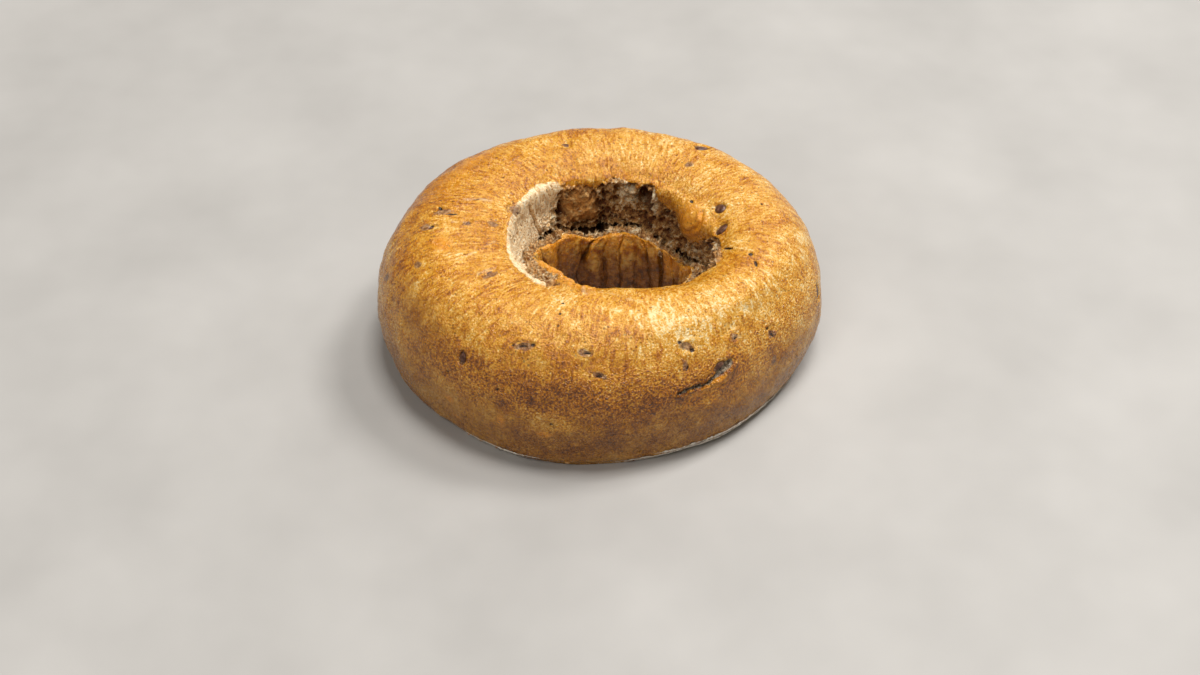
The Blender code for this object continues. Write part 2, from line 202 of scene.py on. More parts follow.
# Where the pale stretched skin begins, left of the hole.
PALE_EDGE = (
    (112, 12.6), (120, 11.9), (127, 11.3), (133, 11), (141, 11.1), (151, 11.55), (164, 11.8),
    (178, 11.85), (193, 11.5), (207, 11), (216, 10.6), (222.5, 10.5), (230, 10.25), (237, 9.85),
    (243, 9.65), (248, 9.8), (254, 10.6), (262, 12.6),
)

# The rope of orange crust on the near left rim, with its half width in millimetres at two directions, and the
# pale fissures, with theirs.
ROPE = ((230, 13.8), (238, 12.5), (243, 11.6), (249.5, 10.55), (256.5, 10), (262.5, 9.88))
ROPE_WIDTH = ((236.0, 1.9), (262.5, 0.6))
FISSURE_WIDTH = 0.30
FISSURES = (
    ((206.5, 8.85), (203.2, 9.45), (196.8, 10.2)), ((217.5, 9), (215.8, 9.55)),
    ((257.3, 9.9), (259.5, 9.72), (261.2, 9.76)), ((263.5, 9.98), (267, 9.93), (270.5, 9.84), (275.3, 9.61)),
    ((277, 9.5), (280, 9.38), (282.5, 9.26)), ((166, 9.05), (164.5, 9.4), (163, 9.9)),
    ((183, 9.05), (182, 8.8)), ((309, 6.75), (311.5, 6.6)),
)

# Forms of the torn wall: where, half width in degrees, half height in rings, rise in millimetres.
WALL_FORMS = (
    (108.5, 13.35, 10.5, 1.00, 1.2), (121.5, 13.4, 2.6, 1.3, -1.6), (103, 15.7, 14, 0.75, -2.6),
    (131, 15.9, 7, 0.70, -1.8), (68, 12.85, 4.6, 0.65, -3.4), (61.6, 12.7, 1.5, 1.10, 1.2),
    (65.5, 13.8, 1.8, 0.50, 0.9), (52, 13.6, 5, 0.80, -1.8), (41.5, 15.9, 5, 0.90, -2.8),
    (22, 15.2, 5, 0.60, -1.6), (0, 13.2, 2.6, 0.60, -1.4), (350, 12.6, 1.6, 0.60, -1.2),
    (88, 14.4, 3.5, 0.35, -1.1), (76, 15.2, 5, 0.50, -1.6), (143, 16.6, 5, 0.40, -0.8),
    (94, 13, 1.2, 0.8, -0.8), (57, 14.9, 4, 0.4, -1.4), (30, 14.2, 3, 0.4, -1),
)

# Paler crumb, where webs catch the light: where, half width in degrees, half height in rings, strength.
LIT_CRUMB = (
    (131, 13.6, 8.5, 1.4, 0.9), (79.5, 12.7, 10, 0.7, 0.9), (61.5, 12.6, 2, 1.2, 0.9),
    (218, 15.5, 26, 3.2, 0.7), (155, 16.9, 16, 0.9, 0.6), (84, 18.5, 32, 0.3, 0.5),
    (352, 12.6, 6, 0.9, 0.6), (27, 14.1, 14, 0.4, 0.5), (48, 14.6, 3, 0.5, 0.4),
)

# Creases in the bore's skin: direction, slant in degrees a ring, half width and depth in millimetres.
BORE_CREASES = (
    (139, 1, 0.26, 0.35), (111.5, 4, 0.50, 1.1), (95.2, 0, 0.20, 0.35), (82.5, 0.4, 0.24, 0.5),
    (71.8, 0.2, 0.18, 0.3), (62.3, -2, 0.30, 0.6), (50.2, -0.3, 0.42, 0.9), (36.5, -2, 0.28, 0.5),
    (22, 1.5, 0.3, 0.6), (8, -1, 0.3, 0.5), (153, -2, 0.3, 0.5), (168, 2, 0.35, 0.6),
    (186, -1, 0.3, 0.5), (204, 2, 0.4, 0.7), (228, 0, 0.3, 0.6), (246, 3, 0.4, 0.8),
    (268, -2, 0.3, 0.5), (287, 1, 0.35, 0.6), (306, -1, 0.4, 0.7), (330, 2, 0.35, 0.6),
)

# Patches of colour: where, half width in degrees, half height in rings, strength.
# Most of these patches brown the crust; the lighter ones at 290, 301 and 326 degrees on the near crown and the right
# front are a painted highlight over somewhat paler skin, and the one at 30 degrees is painted light on the lobe,
# which hangs in shade.
BROWNING_AND_PAINTED_LIGHT = (
    (150, 7.3, 30, 1.3, 0.18), (262, 6.00, 28, 0.75, 0.26), (298, 5.80, 20, 0.55, 0.22),
    (272, 4.60, 40, 0.7, 0.10), (225, 6, 16, 0.60, 0.12), (182, 7, 22, 0.60, 0.10),
    (290, 8.2, 22, 1.2, -0.16), (301, 8.1, 15, 0.9, -0.12), (326, 7.1, 16, 0.9, -0.14),
    (85, 8.2, 40, 1.2, -0.04), (30, 7, 30, 1.4, -0.04), (98, 11.6, 22, 0.35, 0.06),
    (30, 12.4, 24, 1.3, -0.10), (110, 6.2, 40, 0.8, 0.14),
)
TOASTED = (
    (194.5, 8.42, 3.6, 0.30, 0.9), (197.6, 8.62, 3, 0.22, 0.6), (231, 5.08, 2, 0.16, 0.8),
    (246.2, 5.10, 1.6, 0.26, 0.8), (257.3, 4.92, 2.6, 0.13, 0.8), (265, 4.61, 2.4, 0.10, 0.6),
    (232.8, 4.54, 3, 0.14, 0.6), (272, 6.45, 3.4, 0.16, 0.5), (303, 5.80, 4.5, 0.13, 0.8),
    (296, 5.66, 5, 0.10, 0.6), (108.5, 12.28, 12, 0.20, 1), (29, 12.5, 18, 1.10, 0.9),
    (18, 12, 9, 0.60, 0.4), (214, 19.2, 22, 0.9, 0.9), (246, 18.9, 12, 0.9, 0.7),
    (352, 11.2, 8, 0.40, 0.5), (303, 4.30, 3, 0.20, 0.5), (135, 7.9, 9, 0.40, 0.3),
    (214, 5.6, 5, 0.25, 0.4), (60, 5.4, 6, 0.3, 0.5), (110, 5.2, 5, 0.3, 0.5),
    (10, 5.2, 5, 0.3, 0.4), (150, 5, 6, 0.3, 0.5), (90, 19, 50, 0.35, 0.6),
    (152, 7.8, 30, 1.3, 0.5), (141, 20.2, 15, 1.7, 0.95), (42, 20.4, 11, 1.5, 0.8),
    (88, 19.6, 24, 0.9, 0.5), (12, 20, 12, 1.2, 0.7),
)

# A kernel covered less than this lies in an open dent. How far off the surface an oval mark is still seen, and a
# distance that is far from everything, in millimetres.
BARE = 0.4
OVAL_THROUGH = 3.0
FAR_OFF = 1000.0

# Stretches of the loft: where each starts, is full, begins to fade and ends, and where the bore's creases lie
# at their own directions. PALE_DIRECTIONS is in degrees.
PALE_DIRECTIONS = (110.0, 124.0, 235.0, 244.0)
PALE_SLIT_ROWS = (12.3, 12.9, 14.9, 15.5)
WRINKLED_FAR = (8.6, 10.6, 12.4, 12.9)
WRINKLED_NEAR = (7.6, 9.6, 11.6, 12.6)
LOBE_ROWS = (11.3, 12.7, 13.4, 14.1)
FILLED_ROWS = (15.7, 16.7, 18.1, 18.8)
LIP_ROWS = (17.9, 18.7, 19.6, 20.6)
BORE_ROWS, BORE_MIDDLE = (18.8, 19.8, 24.4, 25.2), 21.5

# Where the foot's tan ends, the base begins, the flour under the base ends and painted shade darkens the bore:
# first and last place on the loft.
FOOT_ROWS, BASE_ROWS, FLOUR_ROWS, SHAFT_SHADE_ROWS = (4.7, 6.0), (23.4, 24.6), (25.4, 26.9), (20.4, 22.6)

# Directions and their reach, in degrees: the soft part of the torn edge, the wrinkled side, the cavern under the
# slab, the lobe and the rolled lip. Then the place of the roll on the loft and its reach.
SOFT_EDGE = (136.0, 22.0)
WRINKLED_SIDE = (92.0, 40.0)
CAVERN = (103.0, 17.0)
LOBE_SIDE = (27.0, 16.0)
ROLLED_SIDE, ROLLED_ROW = (218.0, 32.0), (19.1, 0.55)

# Where flour clings at the foot: direction and reach in degrees, and strength.
FLOURED = ((305.0, 34.0, 1.0), (242.0, 13.0, 0.8))

# Radii in millimetres of the cylinders on which noise is drawn out: through the crown, the pale skin and the bore.
CROWN_RADIUS, PALE_RADIUS, BORE_RADIUS = 32.0, 21.0, 19.0

# Fine relief and blotches: the size and the rise in millimetres of each noise, and its seed.
RAGGED_EDGE = ((2.4, 0.20, 11), (0.9, 0.12, 12))
RAGGED_LIP = ((2.1, 0.40, 42), (0.8, 0.22, 48))
WRINKLES = ((1.3, 1.0, 21), (0.75, 0.6, 22))
DIMPLES = ((4.0, 0.20, 23), (1.9, 0.10, 24), (0.95, 0.04, 27))
PALE_FOLDS = ((1.6, 0.34, 28), (0.75, 0.34, 29))
BORE_STREAKS = ((4.6, 0.85, 38), (1.4, 0.20, 25))
BORE_GRAIN = ((0.7, 0.06, 26),)
CRAGS = ((2.2, 0.55, 34), (0.9, 0.35, 35))
BUBBLES = ((3.0, 1.9, 31), (1.5, 1.0, 32), (0.8, 0.45, 37))
BAKED_BLOTCHES = ((11.0, 0.10, 52), (5.0, 0.09, 53))

# The slit in the pale skin: direction and place, slant in degrees a ring, half width in degrees, depth and
# welt in millimetres.
PALE_SLIT = (142.5, 13.6, 3.0, 0.8, 0.9, 0.35)

# The lobe over the torn wall: its rise in millimetres, and the tuck round it.
LOBE = 0.8
TUCK = ((20.5, 11.6), (16.0, 12.0), (17.0, 12.35), (24.5, 12.69), (32.0, 12.76))

# The toasted slab, the strands beside it and the dull patch at the left: where, half width in degrees, half
# height in rings, strength.
SLAB = ((108.5, 13.35, 11.0, 1.05, 1.0),)
STRANDS = ((79.0, 13.0, 12.0, 0.9, 1.0), (130.0, 13.8, 8.0, 1.0, 0.7))
DULL_PATCH = ((216.0, 6.6, 14.0, 0.8, 0.75),)

# Film of flour at the foot: first and last direction, place on the loft, and seed.
FLOUR_STRIPS = ((276, 338, 3.55, 1), (284, 324, 3.85, 2), (234, 256, 3.8, 3), (290, 334, 3.3, 4))

# Flakes of crust: direction, length and width in millimetres of the two in front, and how many small ones.
FRONT_FLAKES = ((238.5, 2.4, 1.2), (262.5, 1.5, 1.1))
FLAKE_COUNT, FLAKE_SEED = 26, 5

# How many shreds of torn crumb there are.
SHRED_COUNT, SHRED_SEED = 2600, 7

# The masks that the crust's colour reads.
MASKS = (
    "crumb", "pale", "browned_and_lit", "toast", "dust", "low", "veil", "ring", "pleated", "crease_shade", "slab", "deep_pit_shade",
    "dent_shade", "split", "lit_webs", "flaked", "cleft", "shaft_shade",
)

# Tones in sRGB hex, from dark to light or, for the crust and its foot, from least to most browned.
TONES = {
    "crust": (
        (0.04, "#f7dda4"), (0.22, "#e8b048"), (0.42, "#d18e1e"), (0.58, "#b86f0e"), (0.76, "#8a4c08"),
        (1.0, "#502805"),
    ),
    "foot": ((0.05, "#cc9c54"), (0.3, "#b47c2c"), (0.5, "#925a10"), (0.72, "#683806"), (1.0, "#3c1e03")),
    "glaze": ((0.3, "#be6a0a"), (0.5, "#e0901c"), (0.72, "#f8ba4e")),
    "stretched skin": ((0.36, "#b17e44"), (0.43, "#eec68e"), (0.53, "#fde6ba"), (0.66, "#fff7e2")),
    "bore": ((0.40, "#a45408"), (0.5, "#e0941c"), (0.60, "#fccb66")),
    # Painted shade that darkens the bore further down the hole.
    "painted bore shade": ((0.40, "#300f01"), (0.60, "#8a4002")),
    "crumb": ((0.31, "#5e300c"), (0.43, "#a46a2e"), (0.55, "#dca862"), (0.70, "#fff0cc")),
    "slab": ((0.3, "#a66818"), (0.5, "#d89644"), (0.7, "#f8d08a")),
    "veiled grain": ((0.35, "#4e3022"), (0.5, "#80583e"), (0.65, "#b08a62")),
    # Painted shade in slits and in the dents of bare kernels.
    "slit and dent shade": ((0.35, "#1f100a"), (0.55, "#3f2a20"), (0.75, "#6d5642")),
    "crack": ((0.36, "#2a1a12"), (0.5, "#75624c"), (0.66, "#b5a58a")),
    "cooked spelt kernel": ((0.28, "#2c1712"), (0.5, "#5c3a2c"), (0.7, "#86634e")),
    "torn spelt crumb": ((0.28, "#8f6f49"), (0.5, "#b99a70"), (0.72, "#dcc59e")),
    "dried flour film": ((0.3, "#b9a98f"), (0.5, "#e4dccd"), (0.7, "#f6f2ea")),
    "flaked brown crust": ((0.3, "#5a3210"), (0.5, "#96612a"), (0.7, "#cfa060")),
    "pale stone floor": ((0.3, "#a9a7a4"), (0.7, "#b5b3b0")),
}
# The first two colours are painted shade, laid into the bore's creases and into the crumb's deep pits.
CREASE_SHADE, BUBBLE_SHADE, GRAIN_EDGE, FLAKED_SKIN = "#4a2206", "#6a3610", "#6b3a1a", "#f2dfb8"
BRAN, BRAN_DUST, FLOUR = "#5f3a17", "#74471c", "#efe9df"
BRAN_SPACING = 1.4

# Plain materials: size of the mottling in millimetres, roughness, and size and depth of the fine relief.
PLAIN_MATERIALS = {
    # Violet brown and smooth, with a slight shine, as boiled grain has.
    "cooked spelt kernel": (1.0, 0.34, 0.5, 0.15),
    # Pale grey brown, matt and rough.
    "torn spelt crumb": (1.0, 0.9, 0.4, 0.2),
    # Off-white, dry and chalky.
    "dried flour film": (0.8, 0.7, 0.5, 0.2),
    # Brown to tan, dull.
    "flaked brown crust": (0.9, 0.5, 0.5, 0.2),
    # Pale grey and faintly mottled, so that the bread stands out.
    "pale stone floor": (45.0, 0.6, 3.0, 0.05),
}

# Soft lights: place and width in metres, power in watts, colour; all aimed at one point over the floor.
LIGHTS = {
    "window": ((0.85, 0.45, 1.50), 0.42, 17.0, (1.0, 0.98, 0.95)),
    "ceiling": ((0.20, 0.04, 1.88), 0.60, 24.0, (1.0, 0.98, 0.95)),
    "rear_window": ((0.75, 1.35, 1.05), 0.60, 5.0, (1.0, 0.98, 0.95)),
    "reflector": ((-0.45, -0.90, 1.30), 0.60, 7.5, (1.0, 0.97, 0.93)),
}
LIGHTS_AIM = (0.0, 0.0, 0.02)
ROOM, ROOM_STRENGTH = "#f4e6d4", 0.11

# The floor and the camera, in millimetres; the camera's rise over the table is in degrees.
FLOOR_HALF, FLOOR_GAP = 1600.0, 0.05
CAMERA_TARGET, CAMERA_DISTANCE, CAMERA_RISE = (0.03, -14.30, 12.0), 421.5, 44.0
LENS, SENSOR = 51.0, 36.0

# How the grid is laid out: columns round the ring, and rows on each stretch of the loft.
COLUMNS = 800
ROWS = (
    (2.0, 4.0, 14), (4.0, 7.0, 56), (7.0, 10.0, 56), (10.0, 12.0, 44), (12.0, 15.0, 62), (15.0, 17.0, 32),
    (17.0, 18.8, 28), (18.8, 20.0, 18), (20.0, 24.0, 60), (24.0, 27.0, 12),
)
SIDE_SEAM, RIM_SEAM, LIP_SEAM = 7.0, 12.0, 18.8


def closed_curve(values, place):
    """Catmull-Rom curve through values, closed, read at place, which counts in values."""
    count = len(values)
    start = np.floor(place).astype(int)
    u = (place - start).reshape(place.shape + (1,) * (values.ndim - 1))
    before, here, after, beyond = (values[(start + k) % count] for k in (-1, 0, 1, 2))
    bend = 2 * before - 5 * here + 4 * after - beyond
    twist = 3 * (here - after) + beyond - before
    return here + 0.5 * u * (after - before + u * (bend + u * twist))


def compass(values, angle):
    """A value given at evenly spaced compass points, read smoothly at every angle."""
    return closed_curve(np.array(values), angle / (2 * math.pi) * len(values))


def plan_curve(angle, centre, half, swell):
    """An ellipse in plan, moved out along its own normal by swell: rows of x and y."""
    cos, sin = np.cos(angle), np.sin(angle)
    normal = np.stack([cos / half[0], sin / half[1]], axis=-1)
    normal /= np.linalg.norm(normal, axis=-1, keepdims=True)
    on_ellipse = np.stack([centre[0] + half[0] * cos, centre[1] + half[1] * sin], axis=-1)
    return on_ellipse + swell[:, None] * normal


def lattice_slopes(corner, seed):
    """A repeatable slope, three numbers from -1 to 1, for each whole-number corner of a lattice."""
    mixed = np.sum(corner * np.array([374761393, 668265263, 2147483647]), axis=-1) + seed * 974634777
    slopes = []
    for turn in (13, 17, 11):
        mixed = ((mixed ^ (mixed >> turn)) & 0x7FFFFFFF) * 1274126177 & 0x7FFFFFFF
        slopes.append(mixed / 0x3FFFFFFF - 1.0)
    return np.stack(slopes, axis=-1)


def noise(points, size, seed):
    """Gradient noise of about -1 to 1, bumps size across: the slopes of the lattice corners, blended."""
    place = points / size
    corner = np.floor(place).astype(np.int64)
    inside = place - corner
    blend = inside**3 * (inside * (inside * 6 - 15) + 10)
    total = np.zeros(points.shape[:-1])
    for step in np.ndindex(2, 2, 2):
        weight = np.prod(np.where(step, blend, 1 - blend), axis=-1)
        slope = lattice_slopes(corner + np.array(step), seed)
        total += weight * np.sum(slope * (inside - step), axis=-1)
    return 1.6 * total


def pores(points, size, seed):
    """Distance, in sizes, to the nearest of the bubbles: one to a lattice cell, off its middle by a random step."""
    place = points / size
    corner = np.floor(place).astype(np.int64)
    nearest = np.full(points.shape[:-1], 9.0)
    for step in np.ndindex(3, 3, 3):
        cell = corner + np.array(step) - 1
        bubble = cell + 0.5 + 0.42 * lattice_slopes(cell, seed)
        nearest = np.minimum(nearest, np.linalg.norm(place - bubble, axis=-1))
    return nearest


def ease(low, high, value):
    """0 below low, 1 above high, and a smooth cubic between them; turned round when low is above high."""
    share = np.clip((value - low) / (high - low), 0, 1)
    return share * share * (3 - 2 * share)


def band(value, start, full, fading, end):
    """0 outside start and end, 1 from full to fading, and eased between them."""
    return ease(start, full, value) * (1 - ease(fading, end, value))


def hump(away, power=2):
    """1 in the middle and 0 far off: e to minus the distance to a power."""
    return np.exp(-(away**power))


def layers(points, noises):
    """A sum of noises, each given by its size and rise in millimetres and its seed."""
    return sum(rise * noise(points, size, seed) for size, rise, seed in noises)


def off_angle(angle, degrees):
    """The angle from a direction round the ring, in radians, from minus to plus half a turn."""
    return np.angle(np.exp(1j * (angle - np.radians(degrees))))


def near_angle(angle, degrees, reach):
    """1 at a direction round the ring, falling as a bell curve whose half width is reach degrees."""
    return hump(np.degrees(off_angle(angle, degrees)) / reach)


def wrapped(turn, radius, rise=0.0):
    """The grid on a cylinder, whose height is rise: noise read there is drawn out where rise changes slowly."""
    return np.stack([radius * np.cos(turn), radius * np.sin(turn), rise + 0 * turn], axis=-1)


def loft_rings(angle):
    """The rings of the loft, in order: rows of x, y and z, how pleated and how risen it is."""
    height = compass(HEIGHT, angle)
    drop = compass(RIM_DROP, angle)
    rim_z = height - drop
    lip_z = compass(LIP_HEIGHT, angle)
    split_z = lip_z - compass(SPLIT_DEPTH, angle)
    lean = compass(WALL_LEAN, angle)
    undercut = compass(SPLIT_UNDERCUT, angle)
    foot = compass(FOOT_INSET, angle)
    none = 0 * angle

    def outer(inset):
        return plan_curve(angle, OUTLINE_CENTRE, OUTLINE_HALF, compass(OUTLINE_SWELL, angle) - inset)

    def rim(out):
        return plan_curve(angle, RIM_CENTRE, RIM_HALF, compass(RIM_SWELL, angle) + out)

    def bore(out):
        return plan_curve(angle, BORE_CENTRE, BORE_HALF, compass(BORE_SWELL, angle) + out)

    def between(inside, outside, share):
        return inside + (outside - inside) * share

    def ring(plan, z, pleated=0.0, risen=1.0):
        return np.column_stack([plan, z, pleated + none, risen + none])

    tray = none - BASE_SINK
    wall_fall = rim_z - split_z
    return (
        ring(bore(SEAT_MARGIN), tray),
        ring(between(bore(SEAT_MARGIN), outer(foot), 0.5), tray),
        ring(outer(foot), tray),
        *(ring(outer(inset * foot), share * height) for inset, share in HEEL),
        *(ring(outer(inset), share * height) for inset, share in SIDE),
        *(ring(between(rim(none), outer(none), out), share * height) for out, share in CROWN),
        *(ring(rim(out), height - share * drop) for out, share in BROW),
        *(ring(rim(-inward * lean), rim_z - down * wall_fall, risen=risen) for inward, down, risen in WALL),
        ring(rim(-lean), split_z + WALL_FOOT, risen=0.0),
        ring(rim(undercut - lean), split_z + SPLIT_LIFT, risen=0.0),
        ring(between(bore(none), rim(-lean), LEDGE_OUT), split_z, risen=0.0),
        ring(between(bore(none), rim(-lean), LEDGE_IN), lip_z - LEDGE_IN_SINK, risen=0.0),
        *(ring(bore(out), lip_z - down, pleated=pleat, risen=0.0) for out, down, pleat in LIP),
        *(ring(bore(out), share * lip_z, pleated=pleat, risen=0.0) for out, share, pleat in BORE),
    )


def grid_normals(points):
    """Unit normals of a closed grid: the cross product of its two central differences."""
    along = np.roll(points, -1, axis=0) - np.roll(points, 1, axis=0)
    up = np.roll(points, -1, axis=1) - np.roll(points, 1, axis=1)
    normals = np.cross(along, up)
    return normals / np.maximum(np.linalg.norm(normals, axis=-1, keepdims=True), 1e-12)


def crease_relief(angle):
    """How far the bore's skin falls in at each crease, rising a little between them."""
    relief = np.zeros(angle.shape)
    for degrees, depth, half_width in CREASES:
        relief -= depth * hump(off_angle(angle, degrees) * BORE_HALF[0] / half_width)
    return relief - relief.mean()


def path_distance(points, path):
    """Distance from each point to the nearest point of a path of straight stretches."""
    nearest = np.full(points.shape[:-1], FAR_OFF)
    for start, end in zip(path, path[1:]):
        run = np.array(end) - np.array(start)
        share = np.clip((points - np.array(start)) @ run / (run @ run), 0, 1)
        foot = np.array(start) + share[..., None] * run
        nearest = np.minimum(nearest, np.linalg.norm(points - foot, axis=-1))
    return nearest


def smooth_bread(angle, place):
    """The bread without its fine relief, on the grid of angle by place.

    A point is the loft at its angle and place, moved along the normal by broad noise where it has risen, by the
    creases of the bore where it is pleated, by the curl of the crust where it is torn, and by local swellings.
    """
    loft = np.moveaxis(closed_curve(np.stack(loft_rings(angle)), place), 0, 1)
    points = loft[..., :3]
    pleated, risen = np.moveaxis(np.clip(loft[..., 3:], 0, 1), -1, 0)
    relief = SWELLING * risen * noise(points, SWELLING_SIZE, 1) + LUMP * noise(points, LUMP_SIZE, 2)
    relief = relief + pleated * crease_relief(angle)[:, None]
    relief = relief + compass(TEAR, angle)[:, None] * CURL * hump((place - CURL_RING) / CURL_REACH)
    for centre, reach, rise in FEATURES:
        relief = relief + rise * np.exp(-np.sum((points - np.array(centre)) ** 2, axis=-1) / reach**2)
    return points + relief[..., None] * grid_normals(points)


def bell(turn, on_loft, forms, power=1):
    """A sum of bells on the grid: strength times e to minus (the distance in half widths, squared) to a power."""
    total = np.zeros(turn.shape)
    for degrees, place, half_turn, half_place, strength in forms:
        away = np.degrees(off_angle(turn, degrees)) / half_turn
        total += strength * hump(away**2 + ((on_loft - place) / half_place) ** 2, power)
    return total


def edge_at(turn, edge):
    """The place of an edge given at directions round the ring, in straight stretches between them."""
    degrees, places = np.array(edge).T
    return np.interp(np.degrees(turn), degrees, places, period=360)


def local_frame(degrees, place, turn):
    """A point of the smooth bread, a long axis turned from the way round the ring, a short axis and the normal."""
    steps = np.arange(-2, 3) * 0.01
    points = smooth_bread(math.radians(degrees) + steps, place + steps)
    along = points[3, 2] - points[1, 2]
    normal = np.cross(along, points[2, 3] - points[2, 1])
    along /= np.linalg.norm(along)
    normal /= np.linalg.norm(normal)
    across = np.cross(normal, along)
    cos, sin = math.cos(math.radians(turn)), math.sin(math.radians(turn))
    return points[2, 2], cos * along + sin * across, cos * across - sin * along, normal


def path_on_bread(path):
    """The points of a path given in directions and places, in millimetres."""
    return [local_frame(degrees, place, 0.0)[0] for degrees, place in path]


def oval_reach(points, frame_here, length, width):
    """Distance from the middle of an oval on the surface, in half lengths and half widths; large if far off."""
    centre, long_side, short_side, normal = frame_here
    away = points - centre
    reach = np.hypot(away @ long_side / (0.5 * length), away @ short_side / (0.5 * width))
    return np.where(np.abs(away @ normal) < OVAL_THROUGH, reach, FAR_OFF)


def torn_edges(points, turn, on_loft):
    """Where the bread is bare crumb, where its skin is pale, and where a rope of crust runs, each from 0 to 1."""
    ragged = layers(points, RAGGED_EDGE)
    soft = 0.07 + 0.75 * near_angle(turn, *SOFT_EDGE)
    crumb = ease(-soft, soft, on_loft - edge_at(turn, TORN_EDGE) + ragged + soft * noise(points, 0.8, 13))
    crumb = crumb * (1 - ease(18.55, 18.85, on_loft + 2.0 * ragged))
    pale = ease(-0.14, 0.30, on_loft - edge_at(turn, PALE_EDGE) + 0.7 * ragged) * (1 - ease(17.6, 18.2, on_loft))
    pale = pale * band(np.degrees(turn), *PALE_DIRECTIONS)
    rope = path_distance(points, path_on_bread(ROPE)) / edge_at(turn, ROPE_WIDTH) + 0.2 * noise(points, 1.6, 57)
    rope = hump(np.abs(rope), 3)
    crumb = crumb * (1 - rope)
    return crumb, pale * (1 - crumb) * (1 - rope), rope


def skin_relief(points, turn, on_loft):
    """Dimples, and wrinkles from the crown down into the hole, most strongly on the far side."""
    far_side = near_angle(turn, *WRINKLED_SIDE) * band(on_loft, *WRINKLED_FAR)
    wrinkle = 0.03 + 0.05 * band(on_loft, *WRINKLED_NEAR) + 0.15 * far_side
    return wrinkle * layers(wrapped(turn, CROWN_RADIUS, 0.8 * on_loft), WRINKLES) + layers(points, DIMPLES)


def pale_relief(points, turn, on_loft, pale):
    """The pale skin's upright folds, and one deep slit with a welt beside it."""
    folds = pale * layers(wrapped(turn, PALE_RADIUS, 0.15 * points[..., 2]), PALE_FOLDS)
    degrees, place, slant, half_width, depth, welt = PALE_SLIT
    wander = np.degrees(turn) - degrees + slant * (on_loft - place) + 0.8 * noise(points, 1.5, 14)
    beside = wander / half_width
    return folds + band(on_loft, *PALE_SLIT_ROWS) * (welt * hump(beside + 2.6) - depth * hump(beside))


def bore_relief(points, turn, on_loft, upright, inside):
    """The bore's skin: fine upright streaks, and creases with welts beside them; also how deep the painted shade in
    each crease is.
    """
    relief = inside * (layers(upright, BORE_STREAKS) + layers(points, BORE_GRAIN))
    crease_shade = np.zeros(turn.shape)
    wander = 3.2 * noise(points, 4.2, 40)
    for degrees, slant, half_width, depth in BORE_CREASES:
        away = off_angle(turn, degrees + slant * (on_loft - BORE_MIDDLE) + wander) * BORE_HALF[0] / half_width
        trough = hump(away) * inside * ease(-0.75, 0.35, noise(points, 4.0, int(degrees)) + depth - 0.4)
        crease_shade = np.maximum(crease_shade, trough * min(1.0, depth + 0.2))
        relief = relief - depth * trough + 0.22 * depth * hump((np.abs(away) - 2.6) / 1.2) * inside
    return relief, crease_shade


def rolled_relief(points, turn, on_loft, skin, rope):
    """The lobe that hangs over the torn wall, the tuck round it, and the lip and the rope rolled on the left."""
    def flat_topped(value, middle, reach):
        return hump((value - middle) / reach, 4)

    degrees = np.degrees(turn)
    relief = LOBE * flat_topped(degrees, *LOBE_SIDE) * band(on_loft, *LOBE_ROWS) * skin
    tuck = path_distance(points, path_on_bread(TUCK))
    relief = relief - 0.45 * hump(tuck / 0.35) + 0.25 * hump((tuck - 1.0) / 0.5)
    roll = flat_topped(degrees, *ROLLED_SIDE) * hump((on_loft - ROLLED_ROW[0]) / ROLLED_ROW[1])
    return relief + roll * (0.7 + 0.35 * noise(points, 3.0, 43)) + rope * (1.2 + 0.5 * noise(points, 2.2, 58))


def fissure_mask(points):
    """Where skin has flaked along the fissures, from 0 to 1."""
    flaked = np.zeros(points.shape[:-1])
    wander, gaps = 0.3 * noise(points, 1.3, 59), ease(-0.5, 0.4, noise(points, 1.6, 61))
    for path in FISSURES:
        away = path_distance(points, path_on_bread(path)) + wander
        flaked = np.maximum(flaked, hump(away / FISSURE_WIDTH) * gaps)
    return flaked


def torn_relief(points, turn, on_loft, upright, crumb):
    """Torn crumb: the wall's large forms, round bubbles, upright strands and sharp crags, with three masks:
    the slab, painted shade in the deep pits, and painted light on the webs.

    Beyond the cavern under the slab, loose crumb fills the split behind the lip.
    """
    wall = bell(turn, on_loft, WALL_FORMS, 2) * crumb
    slab = bell(turn, on_loft, SLAB, 3) * crumb
    strands = bell(turn, on_loft, STRANDS, 2) * crumb
    filled = band(on_loft, *FILLED_ROWS) * (1 - near_angle(turn, *CAVERN))
    rows = np.flatnonzero(crumb.max(axis=0) > 0.01)
    part = points[:, rows]
    bubble, lit_web = np.zeros(turn.shape), np.zeros(turn.shape)
    for size, depth, seed in BUBBLES:
        away = np.minimum(pores(part, size, seed) / 0.56, 1)
        bubble[:, rows] -= depth * np.sqrt(1 - away**2)
        lit_web[:, rows] += depth * ease(0.72, 1.0, away)
    crag = layers(points, CRAGS)
    rough = 1 - 0.75 * slab
    relief = wall + 1.5 * filled + rough * (bubble + crag) + (0.25 + 0.8 * strands) * noise(upright, 1.25, 33) + 0.6
    return crumb * relief, {
        "slab": slab,
        "deep_pit_shade": ease(1.2, 3.6, -(wall + rough * (bubble + 0.8 * crag))) * crumb,
        "lit_webs": bell(turn, on_loft, LIT_CRUMB) + 0.16 * lit_web * rough,
    }


